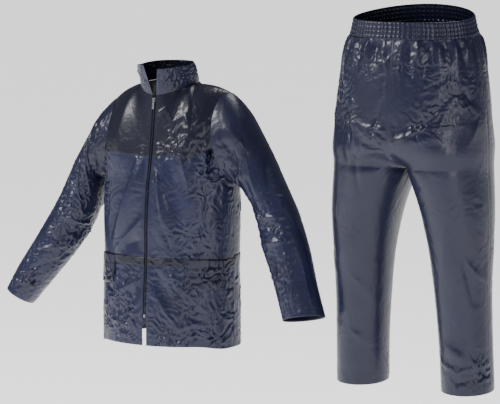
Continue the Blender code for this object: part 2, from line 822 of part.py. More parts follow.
def casing_rows(rows):
    first = BODY_LEVELS.index(CASING_BOTTOM_Z)
    last = BODY_LEVELS.index(CASING_TOP_Z)
    return moved_out(rows, CASING_STAND_OFF)[first : last + 1]


def flap_rows(rows):
    first = BODY_LEVELS.index(FLAP_BOTTOM_Z)
    last = BODY_LEVELS.index(CASING_TOP_Z)
    raised_rows = moved_out(rows, FLAP_STAND_OFF)[first : last + 1]
    return [row[FLAP_FROM_COLUMN : FLAP_TO_COLUMN + 1] for row in raised_rows]


def add_jacket(collection, helpers, cloth, dark, tape, metal):
    for side, name in ((1, "left"), (-1, "right")):
        turned = side < 0
        front = front_rows(side)
        cloth_object(f"jacket_front_{name}", front, collection, cloth, flip=turned)
        cloth_object(
            f"jacket_sleeve_{name}", sleeve_rows(side), collection, cloth, closed=True, flip=not turned
        )
        cloth_object(f"casing_front_{name}", casing_rows(front), collection, dark, flip=turned)
        cloth_object(f"pocket_flap_{name}", flap_rows(front), collection, dark, flip=turned)
        cloth_object(f"zip_tape_{name}", tape_rows(side), collection, tape, TAPE_WALL, flip=turned)
    back = back_rows()
    cloth_object("jacket_back", back, collection, cloth, flip=True)
    cloth_object("casing_back", casing_rows(back), collection, dark, flip=True)
    cloth_object("jacket_collar", collar_rows(), collection, dark, COLLAR_WALL, flip=True)
    coil_curve(collection, tape)
    add_bottom_box(collection, metal)
    add_slider(collection, helpers, metal)
    add_pull(collection, helpers, metal)


def leg_ring(u, z, face):
    """Half a leg's section, from the inseam round the front or back to the side seam."""
    section = row_at(LEG, z)
    depth = section.front_depth if face < 0 else section.back_depth
    angle = u * math.pi
    return Vector(
        (
            section.centre_x - section.half_width * math.cos(angle),
            section.centre_y + face * depth * power(math.sin(angle), LEG_SQUARENESS),
            z,
        )
    )


def hip_ring(u, z, face):
    """A quarter of the hips' section, from the centre seam to the side seam."""
    section = row_at(HIPS, z)
    depth = section.front_depth if face < 0 else section.back_depth
    angle = u * math.pi / 2
    return Vector(
        (
            section.half_width * power(math.sin(angle), HIP_SQUARENESS),
            face * depth * power(math.cos(angle), HIP_SQUARENESS),
            z,
        )
    )


def waist_rise(y, section):
    """The waist dips at the front and rises at the back."""
    share = y / section.front_depth
    return WAIST_TILT * share + WAIST_BACK_RISE * share * share


def trouser_base(u, height, face):
    """A trouser panel. Height 0 is the hem, 1 the crotch, 2 the fork's top, 3 the waist seam."""
    fork_z = FRONT_FORK_Z if face < 0 else BACK_FORK_Z
    if height <= 1.0:
        z = mix(LEG[0].z, CROTCH_Z, height)
        point = leg_ring(u, z, face)
        drop = HEM_FRONT_DROP * face * math.sin(u * math.pi)
        point.z += drop * (1.0 - height) ** 2
    elif height <= 2.0:
        quarter = (height - 1.0) * math.pi / 2
        rise = height - 1.0
        inner_z = mix(CROTCH_Z, fork_z, 1 - math.cos(quarter))
        side_z = mix(CROTCH_Z, fork_z, rise)
        point = leg_ring(u, CROTCH_Z, face).lerp(hip_ring(u, side_z, face), math.sin(quarter))
        point.y *= 1.0 + FORK_FULLNESS * math.sin(math.pi * rise) ** 2
        point.z = mix(inner_z, side_z, u**0.6)
    else:
        point = hip_ring(u, mix(fork_z, BAND_BOTTOM, height - 2.0), face)
        section = row_at(HIPS, point.z)
        point.z += waist_rise(point.y, section) * (height - 2.0)
    return point


def gather(u, z):
    """Soft pleats that the waist elastic draws up, fading down the hips."""
    depth = BAND_BOTTOM - z
    fade = ease(1.0 - depth / GATHER_REACH) * ease(depth / 0.012 + 0.35)
    return GATHER_HEIGHT * fade * math.sin(2 * math.pi * GATHERS_A_PANEL * u + 3.0 * u * u)


def trouser_point(u, height, side, face):
    def surface(across, up):
        return trouser_base(across, up * 3.0, face)

    base = surface(u, height / 3.0)
    relief = fold_relief(TROUSER_FOLDS[face], side * base.x, base.z) + gather(u, base.z)
    at_seams = ease(u / FOLD_FADE_ON_LEG) * ease((1.0 - u) / FOLD_FADE_ON_LEG)
    fade = at_seams * ease((3.0 - height) / FOLD_FADE_ON_LEG)
    point = raised(surface, u, height / 3.0, -face * relief * fade)
    return Vector((TROUSER_X + side * point.x, point.y, WAIST_Z + point.z))


def trouser_rows(side, face):
    heights = [i / LEG_ROWS for i in range(LEG_ROWS)]
    heights += [1.0 + i / FORK_ROWS for i in range(FORK_ROWS)]
    heights += [2.0 + i / HIP_ROWS for i in range(HIP_ROWS + 1)]
    rows = []
    for height in heights:
        top = min(height, 3.0 - SEAM_GAP / 0.22)

        def row_point(u, top=top):
            return trouser_point(u, top, side, face)

        first, last = seam_ends(row_point)
        rows.append(
            [row_point(mix(first, last, i / LEG_COLUMNS)) for i in range(LEG_COLUMNS + 1)]
        )
    return rows


def waistband_rows():
    """The elasticated casing, drawn up into fine ribs."""
    count = 2 * RIBS
    rows = []
    for z in (BAND_BOTTOM + 0.0004, BAND_BOTTOM / 2, 0.0):
        section = row_at(HIPS, z)
        row = []
        for i in range(count):
            angle = 2 * math.pi * i / count
            rib = RIB_HEIGHT if i % 2 else 0.0
            depth = section.back_depth if math.sin(angle) > 0 else section.front_depth
            x = (section.half_width + rib) * math.cos(angle)
            y = (depth + rib) * math.sin(angle)
            row.append(Vector((TROUSER_X + x, y, WAIST_Z + z + waist_rise(y, section))))
        rows.append(row)
    return rows


def add_trousers(collection, cloth):
    for side, side_name in ((1, "left"), (-1, "right")):
        for face, face_name in ((-1, "front"), (1, "back")):
            cloth_object(
                f"trouser_{face_name}_{side_name}",
                trouser_rows(side, face),
                collection,
                cloth,
                flip=side * face > 0,
            )
    cloth_object("waistband", waistband_rows(), collection, cloth, WAISTBAND_WALL, closed=True)


def main():
    for old in list(bpy.data.objects):
        bpy.data.objects.remove(old)
    suit = bpy.data.collections.new("rain_suit")
    helpers = bpy.data.collections.new("helpers")
    bpy.context.scene.collection.children.link(suit)
    bpy.context.scene.collection.children.link(helpers)
    cloth = material("coated_cloth", NAVY, 0.35)
    dark = material("doubled_cloth", NAVY_DARK, 0.35)
    tape = material("zip_tape", ZIP_TAPE, 0.7)
    metal = material("zip_metal", ZIP_METAL, 0.35, 0.8)
    add_jacket(suit, helpers, cloth, dark, tape, metal)
    add_trousers(suit, cloth)


main()
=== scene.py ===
import math
from collections import namedtuple

import bpy
import numpy as np
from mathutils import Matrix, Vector


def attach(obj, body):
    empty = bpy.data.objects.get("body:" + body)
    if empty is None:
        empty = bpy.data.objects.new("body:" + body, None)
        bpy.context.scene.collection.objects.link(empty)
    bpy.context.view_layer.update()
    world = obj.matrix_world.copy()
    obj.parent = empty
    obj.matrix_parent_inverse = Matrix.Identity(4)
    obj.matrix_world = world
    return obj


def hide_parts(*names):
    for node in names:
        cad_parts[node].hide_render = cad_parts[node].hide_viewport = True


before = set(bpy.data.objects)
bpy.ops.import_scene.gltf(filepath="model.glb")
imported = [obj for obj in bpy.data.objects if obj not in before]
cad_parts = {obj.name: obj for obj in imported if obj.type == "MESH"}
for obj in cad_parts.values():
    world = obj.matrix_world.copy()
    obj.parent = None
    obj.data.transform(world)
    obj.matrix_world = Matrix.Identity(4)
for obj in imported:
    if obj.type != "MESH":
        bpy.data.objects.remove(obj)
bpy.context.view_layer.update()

# Sizes shared with the solids, in metres
CLOTH = 0.0012
SEAM_GAP = 0.0007
SHOULDER_SET_IN = 0.0008
NECK_HALF_WIDTH = 0.080
NECK_CENTRE_Y = 0.012
NECK_FRONT_DEPTH = 0.093
NECK_BACK_DEPTH = 0.076
NECK_FRONT_DROP = 0.030
NECK_BACK_RISE = 0.010
SHOULDER_X = 0.204
SHOULDER_Y = 0.020
SHOULDER_ROUND = 0.008
ARMHOLE_FRONT = 0.088
ARMHOLE_BACK = 0.080
ARMHOLE_HALF_GIRTH = 0.23
HEM_SIDE_DROP = 0.012
HEM_TILT = 0.005
SIDE_SEAM_Y = 0.012
CHEST_HOLLOW = -0.30
FRONT_EDGE = 0.0062
NECK_SHARE = 5 / 14

TorsoSection = namedtuple("TorsoSection", "z half_width front_depth back_depth")
TORSO = (
    TorsoSection(-0.742, 0.2115, 0.142, 0.142),
    TorsoSection(-0.640, 0.2110, 0.141, 0.142),
    TorsoSection(-0.500, 0.2085, 0.131, 0.138),
    TorsoSection(-0.380, 0.2110, 0.129, 0.140),
    TorsoSection(-0.275, 0.2090, 0.118, 0.140),
)
HEM_Z = TORSO[0].z
ARMPIT_Z = TORSO[-1].z
FLAP_BOTTOM_Z = -0.572
CASING_BOTTOM_Z = -0.510
CASING_TOP_Z = -0.487
FLAP_FROM = 5 / 14
FLAP_TO = 12 / 14
CASING_STAND_OFF = 0.0017
FLAP_STAND_OFF = 0.0034
YOKE_BOTTOM_Z = -0.203
BODY_AXIS = np.array([0.0, 0.012, -0.4])
FRONT_ROWS = 290
FRONT_COLUMNS = 120
BACK_ROWS = 270
BACK_COLUMNS = 100

SleeveStation = namedtuple(
    "SleeveStation", "share outer_x outer_y outer_z inner_x inner_y inner_z half_depth"
)
LEFT_SLEEVE = (
    SleeveStation(0.00, 0.204, 0.020, -0.026, 0.210, 0.012, -0.275, 0.080),
    SleeveStation(0.10, 0.232, 0.024, -0.050, 0.224, 0.014, -0.281, 0.078),
    SleeveStation(0.25, 0.296, 0.024, -0.153, 0.238, 0.014, -0.290, 0.074),
    SleeveStation(0.41, 0.358, 0.012, -0.251, 0.256, 0.008, -0.307, 0.068),
    SleeveStation(0.56, 0.415, -0.006, -0.335, 0.297, -0.006, -0.367, 0.062),
    SleeveStation(0.71, 0.466, -0.030, -0.428, 0.339, -0.030, -0.461, 0.055),
    SleeveStation(0.89, 0.515, -0.058, -0.549, 0.390, -0.058, -0.575, 0.046),
    SleeveStation(1.00, 0.549, -0.078, -0.620, 0.421, -0.078, -0.646, 0.041),
)
RIGHT_SLEEVE = (
    SleeveStation(0.00, 0.204, 0.020, -0.066, 0.210, 0.012, -0.275, 0.080),
    SleeveStation(0.12, 0.226, 0.026, -0.096, 0.225, 0.014, -0.288, 0.080),
    SleeveStation(0.27, 0.272, 0.024, -0.155, 0.236, 0.014, -0.322, 0.077),
    SleeveStation(0.42, 0.321, 0.012, -0.236, 0.248, 0.008, -0.372, 0.073),
    SleeveStation(0.58, 0.364, -0.006, -0.338, 0.268, -0.006, -0.430, 0.069),
    SleeveStation(0.74, 0.414, -0.030, -0.441, 0.311, -0.030, -0.505, 0.065),
    SleeveStation(0.89, 0.476, -0.058, -0.551, 0.385, -0.058, -0.601, 0.062),
    SleeveStation(1.00, 0.507, -0.078, -0.622, 0.436, -0.078, -0.665, 0.061),
)
SLEEVES = {1: LEFT_SLEEVE, -1: RIGHT_SLEEVE}
SLEEVE_JOIN_SHARE = 0.16
SLEEVE_SET_OUT = 0.0014
UNDERARM_SET_OUT = 0.0010
SLEEVE_LENGTH = 0.68
SLEEVE_GIRTH = 0.45
SLEEVE_ROWS = 240
SLEEVE_COLUMNS = 160

COLLAR_TOP_HALF_WIDTH = 0.074
COLLAR_TOP_CENTRE_Y = -0.016
COLLAR_TOP_FRONT_DEPTH = 0.098
COLLAR_TOP_BACK_DEPTH = 0.090
COLLAR_TOP_FRONT_Z = 0.046
COLLAR_TOP_BACK_Z = 0.060
COLLAR_WALL = 0.0024
CollarFront = namedtuple("CollarFront", "top_angle lift lean")
COLLAR_FRONTS = {
    1: CollarFront(0.33, 0.000, 0.004),
    -1: CollarFront(0.19, 0.012, -0.006),
}

# Zip, stitches and crumples
ZIP_BOTTOM_Z = -0.661
TOOTH_PITCH = 0.0021
STITCH_PITCH = 0.0038
STITCH_LENGTH = 0.0026
STITCH_WIDTH = 0.0006
STITCH_HEIGHT = 0.0003
WAVES = 14

# Colours and stage
SINGLE = (0.0140, 0.0170, 0.052, 1)
# the darker colour of doubled cloth, also used for a patch of painted shade
DOUBLED_AND_SHADE = (0.0060, 0.0068, 0.021, 1)
FLOOR_Z = -1.25
FLOOR_GLOW = 1.30

TROUSER_X = 0.778
WAIST_Z = 0.211
BAND_BOTTOM = -0.046
WAIST_TILT = 0.019
WAIST_BACK_RISE = 0.009
CROTCH_Z = -0.412
FRONT_FORK_Z = -0.285
BACK_FORK_Z = -0.265
HEM_FRONT_DROP = 0.006
FORK_FULLNESS = 0.15
GATHERS_A_PANEL = 5
GATHER_HEIGHT = 0.0042
GATHER_REACH = 0.13
SMALL_GATHERS = 15
RIBS = 84
ELASTIC_ROWS = 4
TROUSER_ROWS = 330
TROUSER_COLUMNS = 110
LegSection = namedtuple(
    "LegSection", "z centre_x centre_y half_width front_depth back_depth"
)
LEG = (
    LegSection(-1.014, 0.161, 0.024, 0.0715, 0.074, 0.076),
    LegSection(-0.900, 0.158, 0.018, 0.0720, 0.076, 0.078),
    LegSection(-0.760, 0.152, 0.010, 0.0760, 0.081, 0.084),
    LegSection(-0.640, 0.147, 0.004, 0.0835, 0.094, 0.098),
    LegSection(-0.520, 0.135, 0.002, 0.0965, 0.113, 0.120),
    LegSection(-0.412, 0.1120, 0.004, 0.1116, 0.134, 0.140),
)
HipSection = namedtuple("HipSection", "z half_width front_depth back_depth")
HIPS = (
    HipSection(-0.412, 0.2240, 0.140, 0.150),
    HipSection(-0.360, 0.2250, 0.150, 0.160),
    HipSection(-0.265, 0.2200, 0.154, 0.166),
    HipSection(-0.160, 0.2090, 0.146, 0.156),
    HipSection(-0.080, 0.1950, 0.134, 0.142),
    HipSection(-0.046, 0.1830, 0.126, 0.130),
    HipSection(0.000, 0.1720, 0.119, 0.121),
)

# Largest folds, as in the solids: a ridge or trough between two points of the front or back view
Crease = namedtuple("Crease", "x1 z1 x2 z2 width height sharp")
JACKET_FOLDS = {}
JACKET_FOLDS[-1] = (
    Crease(-0.020, -0.20, -0.105, -0.45, 0.026, 0.0070, 0.0),
    Crease(-0.055, -0.20, -0.150, -0.42, 0.024, -0.0050, 0.0),
    Crease(-0.015, -0.34, -0.080, -0.46, 0.022, -0.0050, 0.0),
    Crease(0.018, -0.20, 0.060, -0.45, 0.024, 0.0060, 0.0),
    Crease(0.060, -0.22, 0.110, -0.44, 0.024, -0.0050, 0.0),
    Crease(0.105, -0.18, 0.165, -0.40, 0.026, 0.0060, 0.0),
    Crease(0.170, -0.13, 0.115, -0.24, 0.022, -0.0050, 0.0),
    Crease(0.060, -0.55, 0.135, -0.70, 0.026, 0.0060, 0.0),
    Crease(0.030, -0.52, 0.090, -0.66, 0.024, -0.0060, 0.0),
    Crease(-0.060, -0.56, -0.150, -0.66, 0.026, 0.0050, 0.0),
    Crease(-0.155, -0.10, -0.160, -0.27, 0.018, 0.0040, 0.0),
)
JACKET_FOLDS[1] = (
    Crease(-0.130, -0.14, -0.060, -0.30, 0.028, 0.0060, 0.0),
    Crease(0.130, -0.12, 0.065, -0.29, 0.028, 0.0060, 0.0),
    Crease(-0.090, -0.34, -0.120, -0.60, 0.030, -0.0055, 0.0),
    Crease(0.010, -0.30, 0.030, -0.56, 0.030, 0.0055, 0.0),
    Crease(0.110, -0.36, 0.085, -0.66, 0.028, -0.0055, 0.0),
    Crease(-0.030, -0.52, -0.050, -0.71, 0.028, 0.0050, 0.0),
)
TROUSER_FOLDS = {}
TROUSER_FOLDS[-1] = (
    Crease(-0.165, -0.20, -0.150, -0.47, 0.024, -0.0070, 0.0),
    Crease(-0.020, -0.33, -0.130, -0.27, 0.020, 0.0060, 0.0),
    Crease(-0.020, -0.37, -0.110, -0.40, 0.018, -0.0060, 0.0),
    Crease(0.025, -0.33, 0.140, -0.31, 0.018, 0.0050, 0.0),
    Crease(0.020, -0.36, 0.090, -0.44, 0.022, 0.0050, 0.0),
    Crease(0.175, -0.56, 0.215, -0.70, 0.024, -0.0065, 0.0),
    Crease(0.120, -0.88, 0.205, -0.93, 0.016, 0.0040, 0.0),
    Crease(-0.120, -0.60, -0.190, -0.68, 0.024, 0.0045, 0.0),
)
TROUSER_FOLDS[1] = (
    Crease(-0.030, -0.34, -0.150, -0.28, 0.022, 0.0060, 0.0),
    Crease(0.030, -0.35, 0.150, -0.30, 0.022, 0.0060, 0.0),
    Crease(-0.040, -0.41, -0.170, -0.45, 0.022, -0.0060, 0.0),
    Crease(0.040, -0.42, 0.160, -0.47, 0.022, -0.0060, 0.0),
    Crease(-0.110, -0.64, -0.200, -0.61, 0.022, 0.0050, 0.0),
    Crease(0.110, -0.65, 0.200, -0.62, 0.022, 0.0050, 0.0),
)

# Smaller creases, sharper along their lines
JACKET_CREASES = {}
JACKET_CREASES[-1] = (
    Crease(-0.042, -0.215, -0.128, -0.465, 0.010, 0.0040, 0.7),
    Crease(-0.049, -0.204, -0.138, -0.440, 0.009, -0.0035, 0.7),
    Crease(-0.014, -0.380, -0.118, -0.478, 0.011, 0.0065, 0.6),
    Crease(-0.022, -0.440, -0.080, -0.462, 0.020, -0.0070, 0.2),
    Crease(-0.030, -0.225, -0.060, -0.330, 0.009, 0.0025, 0.8),
    Crease(-0.166, -0.090, -0.156, -0.270, 0.006, 0.0040, 0.8),
    Crease(-0.150, -0.300, -0.164, -0.400, 0.008, -0.0030, 0.7),
    Crease(0.004, -0.204, 0.040, -0.262, 0.009, -0.0045, 0.7),
    Crease(0.040, -0.262, 0.074, -0.350, 0.010, -0.0040, 0.6),
    Crease(0.003, -0.222, 0.046, -0.380, 0.009, -0.0040, 0.7),
    Crease(0.046, -0.380, 0.082, -0.475, 0.010, -0.0045, 0.6),
    Crease(0.020, -0.215, 0.060, -0.430, 0.008, 0.0030, 0.8),
    Crease(0.100, -0.205, 0.128, -0.300, 0.009, 0.0035, 0.7),
    Crease(0.128, -0.300, 0.120, -0.420, 0.010, 0.0035, 0.7),
    Crease(0.150, -0.165, 0.172, -0.260, 0.009, 0.0050, 0.8),
    Crease(0.172, -0.260, 0.166, -0.390, 0.009, -0.0045, 0.7),
    Crease(0.176, -0.130, 0.196, -0.230, 0.008, -0.0050, 0.7),
    Crease(0.135, -0.215, 0.185, -0.215, 0.008, 0.0035, 0.8),
    Crease(0.108, -0.474, 0.186, -0.466, 0.008, -0.0050, 0.6),
    Crease(0.010, -0.086, 0.036, -0.066, 0.006, 0.0030, 0.8),
    Crease(0.036, -0.066, 0.062, -0.104, 0.006, 0.0035, 0.8),
    Crease(0.062, -0.104, 0.098, -0.082, 0.006, 0.0035, 0.8),
    Crease(0.098, -0.082, 0.118, -0.118, 0.006, 0.0030, 0.8),
    Crease(0.118, -0.118, 0.150, -0.100, 0.006, 0.0030, 0.8),
    Crease(0.040, -0.125, 0.072, -0.140, 0.005, 0.0022, 0.9),
    Crease(0.030, -0.170, 0.070, -0.178, 0.006, 0.0026, 0.8),
    Crease(0.048, -0.562, 0.140, -0.660, 0.021, -0.0085, 0.1),
    Crease(0.084, -0.545, 0.172, -0.640, 0.009, 0.0055, 0.7),
    Crease(0.030, -0.590, 0.104, -0.690, 0.009, 0.0050, 0.7),
    Crease(0.105, -0.690, 0.165, -0.665, 0.008, 0.0045, 0.7),
    Crease(-0.030, -0.560, -0.110, -0.600, 0.009, 0.0050, 0.7),
    Crease(-0.110, -0.600, -0.168, -0.575, 0.009, -0.0050, 0.7),
    Crease(-0.040, -0.640, -0.130, -0.655, 0.010, -0.0050, 0.6),
    Crease(-0.060, -0.690, -0.150, -0.670, 0.008, 0.0045, 0.7),
    Crease(-0.015, -0.600, -0.060, -0.680, 0.009, 0.0045, 0.7),
)
JACKET_CREASES[1] = (
    Crease(-0.150, -0.200, -0.090, -0.330, 0.010, -0.0045, 0.7),
    Crease(0.150, -0.190, 0.095, -0.310, 0.010, -0.0050, 0.7),
    Crease(-0.060, -0.230, -0.020, -0.400, 0.010, 0.0040, 0.7),
    Crease(0.050, -0.240, 0.028, -0.380, 0.009, -0.0040, 0.7),
    Crease(-0.165, -0.260, -0.170, -0.420, 0.009, 0.0045, 0.7),
    Crease(0.170, -0.250, 0.176, -0.410, 0.009, -0.0045, 0.7),
    Crease(-0.110, -0.440, -0.040, -0.470, 0.009, -0.0040, 0.7),
    Crease(0.060, -0.450, 0.130, -0.430, 0.009, 0.0040, 0.7),
    Crease(-0.150, -0.560, -0.070, -0.640, 0.010, 0.0055, 0.7),
    Crease(-0.070, -0.640, 0.010, -0.600, 0.010, -0.0050, 0.7),
    Crease(0.020, -0.560, 0.100, -0.650, 0.010, 0.0055, 0.7),
    Crease(0.080, -0.700, 0.160, -0.620, 0.009, 0.0045, 0.7),
    Crease(-0.040, -0.110, 0.040, -0.130, 0.008, 0.0030, 0.8),
    Crease(0.040, -0.130, 0.110, -0.090, 0.008, 0.0030, 0.8),
)
TROUSER_CREASES = {}
TROUSER_CREASES[-1] = (
    Crease(-0.142, -0.240, -0.116, -0.356, 0.010, -0.0055, 0.5),
    Crease(-0.116, -0.356, -0.104, -0.470, 0.010, -0.0055, 0.5),
    Crease(-0.125, -0.230, -0.100, -0.340, 0.010, 0.0040, 0.6),
    Crease(-0.012, -0.200, -0.050, -0.320, 0.010, -0.0055, 0.6),
    Crease(-0.004, -0.300, -0.060, -0.290, 0.009, 0.0050, 0.7),
    Crease(-0.006, -0.345, -0.075, -0.335, 0.010, -0.0060, 0.6),
    Crease(-0.010, -0.375, -0.060, -0.420, 0.009, 0.0045, 0.7),
    Crease(0.010, -0.330, 0.066, -0.303, 0.009, 0.0045, 0.7),
    Crease(0.066, -0.303, 0.107, -0.288, 0.009, 0.0050, 0.8),
    Crease(0.107, -0.288, 0.187, -0.281, 0.008, 0.0040, 0.8),
    Crease(0.107, -0.288, 0.150, -0.330, 0.009, 0.0045, 0.8),
    Crease(0.107, -0.288, 0.085, -0.245, 0.009, -0.0040, 0.7),
    Crease(0.130, -0.245, 0.175, -0.185, 0.012, -0.0045, 0.5),
    Crease(0.204, -0.225, 0.190, -0.190, 0.006, -0.0050, 0.6),
    Crease(0.204, -0.225, 0.180, -0.240, 0.006, 0.0035, 0.8),
    Crease(0.204, -0.225, 0.212, -0.262, 0.007, 0.0045, 0.7),
    Crease(0.215, -0.262, 0.206, -0.330, 0.010, 0.0060, 0.5),
    Crease(0.190, -0.633, 0.228, -0.705, 0.010, 0.0050, 0.7),
    Crease(0.190, -0.633, 0.208, -0.764, 0.010, -0.0055, 0.6),
    Crease(0.150, -0.560, 0.130, -0.690, 0.014, 0.0030, 0.4),
    Crease(0.165, -0.955, 0.228, -0.935, 0.008, 0.0040, 0.7),
    Crease(0.160, -0.985, 0.226, -0.968, 0.008, -0.0040, 0.7),
    Crease(0.110, -0.930, 0.165, -0.955, 0.008, 0.0030, 0.7),
    Crease(-0.100, -0.760, -0.150, -0.700, 0.012, 0.0030, 0.5),
    Crease(-0.110, -0.900, -0.160, -0.860, 0.012, 0.0026, 0.5),
    Crease(-0.200, -0.240, -0.190, -0.330, 0.009, 0.0045, 0.7),
    Crease(-0.170, -0.120, -0.190, -0.230, 0.009, -0.0040, 0.6),
)
TROUSER_CREASES[1] = (
    Crease(-0.012, -0.300, -0.070, -0.330, 0.010, -0.0055, 0.6),
    Crease(0.012, -0.310, 0.080, -0.330, 0.010, -0.0055, 0.6),
    Crease(-0.070, -0.250, -0.150, -0.230, 0.010, 0.0045, 0.7),
    Crease(0.070, -0.260, 0.160, -0.230, 0.010, 0.0045, 0.7),
    Crease(-0.090, -0.390, -0.180, -0.370, 0.010, 0.0045, 0.7),
    Crease(0.090, -0.400, 0.180, -0.380, 0.010, 0.0045, 0.7),
    Crease(-0.120, -0.600, -0.190, -0.650, 0.010, -0.0045, 0.6),
    Crease(0.110, -0.600, 0.190, -0.660, 0.010, -0.0045, 0.6),
    Crease(0.120, -0.950, 0.200, -0.930, 0.009, 0.0035, 0.7),
    Crease(-0.110, -0.960, -0.190, -0.935, 0.009, 0.0035, 0.7),
)
# Sleeve creases run from one share of the length and turn round the arm to another
SleeveCrease = namedtuple("SleeveCrease", "share1 turn1 share2 turn2 width height sharp")
SLEEVE_CREASES = {
    1: (
        SleeveCrease(0.08, 0.30, 0.30, 0.22, 0.020, -0.0050, 0.0),
        SleeveCrease(0.12, 0.42, 0.34, 0.30, 0.020, 0.0050, 0.0),
        SleeveCrease(0.48, 0.44, 0.66, 0.20, 0.018, -0.0045, 0.0),
        SleeveCrease(0.60, 0.48, 0.92, 0.28, 0.020, 0.0045, 0.0),
        SleeveCrease(0.50, 0.62, 0.66, 0.86, 0.022, 0.0045, 0.0),
        SleeveCrease(0.10, 0.26, 0.24, 0.32, 0.012, -0.0080, 0.3),
        SleeveCrease(0.10, 0.20, 0.24, 0.17, 0.010, 0.0050, 0.6),
        SleeveCrease(0.24, 0.34, 0.32, 0.40, 0.010, 0.0050, 0.6),
        SleeveCrease(0.26, 0.19, 0.46, 0.26, 0.011, 0.0045, 0.6),
        SleeveCrease(0.28, 0.27, 0.52, 0.33, 0.011, -0.0045, 0.6),
        SleeveCrease(0.34, 0.08, 0.50, 0.17, 0.012, -0.0035, 0.5),
        SleeveCrease(0.58, 0.42, 0.60, 0.16, 0.009, 0.0050, 0.7),
        SleeveCrease(0.64, 0.44, 0.63, 0.22, 0.008, -0.0045, 0.7),
        SleeveCrease(0.69, 0.40, 0.70, 0.16, 0.009, 0.0045, 0.7),
        SleeveCrease(0.54, 0.12, 0.66, 0.04, 0.010, 0.0035, 0.6),
        SleeveCrease(0.72, 0.20, 0.94, 0.24, 0.010, 0.0045, 0.7),
        SleeveCrease(0.74, 0.28, 0.92, 0.33, 0.010, -0.0045, 0.6),
        SleeveCrease(0.78, 0.10, 0.95, 0.12, 0.011, 0.0035, 0.6),
        SleeveCrease(0.20, 0.66, 0.40, 0.80, 0.011, 0.0045, 0.6),
        SleeveCrease(0.56, 0.58, 0.62, 0.80, 0.010, -0.0045, 0.7),
        SleeveCrease(0.70, 0.60, 0.90, 0.72, 0.010, 0.0045, 0.6),
    ),
    -1: (
        SleeveCrease(0.06, 0.34, 0.28, 0.24, 0.020, 0.0050, 0.0),
        SleeveCrease(0.10, 0.44, 0.36, 0.32, 0.020, -0.0050, 0.0),
        SleeveCrease(0.46, 0.46, 0.62, 0.24, 0.020, 0.0045, 0.0),
        SleeveCrease(0.62, 0.44, 0.80, 0.20, 0.018, -0.0045, 0.0),
        SleeveCrease(0.48, 0.64, 0.70, 0.84, 0.022, -0.0045, 0.0),
        SleeveCrease(0.09, 0.18, 0.10, 0.42, 0.008, 0.0050, 0.7),
        SleeveCrease(0.14, 0.20, 0.20, 0.44, 0.008, -0.0050, 0.7),
        SleeveCrease(0.18, 0.16, 0.36, 0.36, 0.010, 0.0055, 0.7),
        SleeveCrease(0.30, 0.14, 0.46, 0.30, 0.010, -0.0050, 0.6),
        SleeveCrease(0.38, 0.20, 0.58, 0.42, 0.010, 0.0050, 0.7),
        SleeveCrease(0.46, 0.08, 0.62, 0.22, 0.010, -0.0040, 0.6),
        SleeveCrease(0.56, 0.48, 0.64, 0.22, 0.009, 0.0055, 0.7),
        SleeveCrease(0.62, 0.50, 0.70, 0.28, 0.009, -0.0055, 0.7),
        SleeveCrease(0.68, 0.50, 0.80, 0.24, 0.009, 0.0050, 0.7),
        SleeveCrease(0.78, 0.44, 0.90, 0.22, 0.009, -0.0045, 0.7),
        SleeveCrease(0.70, 0.10, 0.86, 0.16, 0.010, 0.0040, 0.6),
        SleeveCrease(0.86, 0.40, 0.96, 0.24, 0.009, 0.0040, 0.7),
        SleeveCrease(0.20, 0.64, 0.42, 0.78, 0.011, 0.0045, 0.6),
        SleeveCrease(0.56, 0.58, 0.62, 0.82, 0.010, -0.0045, 0.7),
        SleeveCrease(0.70, 0.62, 0.90, 0.76, 0.010, 0.0045, 0.6),
    ),
}

# Crumpled zones: centre and reach in the front or back view, depth of the crumples, their size
Zone = namedtuple("Zone", "x z reach_x reach_z depth size")
JACKET_ZONES = {}
JACKET_ZONES[-1] = (
    Zone(0.180, -0.200, 0.045, 0.130, 0.0052, 0.034),
    Zone(0.130, -0.430, 0.060, 0.050, 0.0042, 0.032),
    Zone(0.080, -0.175, 0.080, 0.035, 0.0026, 0.026),
    Zone(0.100, -0.100, 0.070, 0.050, 0.0012, 0.030),
    Zone(0.130, -0.680, 0.120, 0.090, 0.0050, 0.038),
    Zone(0.160, -0.540, 0.080, 0.050, 0.0042, 0.032),
    Zone(0.030, -0.540, 0.060, 0.050, 0.0034, 0.030),
    Zone(-0.100, -0.640, 0.100, 0.100, 0.0052, 0.034),
    Zone(-0.175, -0.260, 0.025, 0.110, 0.0040, 0.028),
    Zone(-0.040, -0.195, 0.020, 0.020, 0.0016, 0.020),
    Zone(0.000, -0.350, 0.300, 0.300, 0.0006, 0.050),
)
JACKET_ZONES[1] = (
    Zone(0.000, -0.640, 0.250, 0.110, 0.0048, 0.038),
    Zone(0.150, -0.300, 0.060, 0.140, 0.0036, 0.036),
    Zone(-0.150, -0.320, 0.060, 0.140, 0.0036, 0.036),
    Zone(0.000, -0.430, 0.160, 0.060, 0.0030, 0.034),
    Zone(0.000, -0.120, 0.180, 0.060, 0.0012, 0.034),
    Zone(0.000, -0.350, 0.300, 0.300, 0.0008, 0.050),
)
TROUSER_ZONES = {}
TROUSER_ZONES[-1] = (
    Zone(0.150, -0.200, 0.070, 0.060, 0.0030, 0.034),
    Zone(-0.160, -0.230, 0.060, 0.080, 0.0030, 0.032),
    Zone(0.100, -0.280, 0.060, 0.040, 0.0026, 0.032),
    Zone(-0.020, -0.330, 0.060, 0.050, 0.0028, 0.030),
    Zone(0.195, -0.960, 0.060, 0.045, 0.0030, 0.032),
    Zone(0.000, -0.120, 0.250, 0.060, 0.0016, 0.026),
    Zone(0.000, -0.700, 0.400, 0.500, 0.0006, 0.060),
)
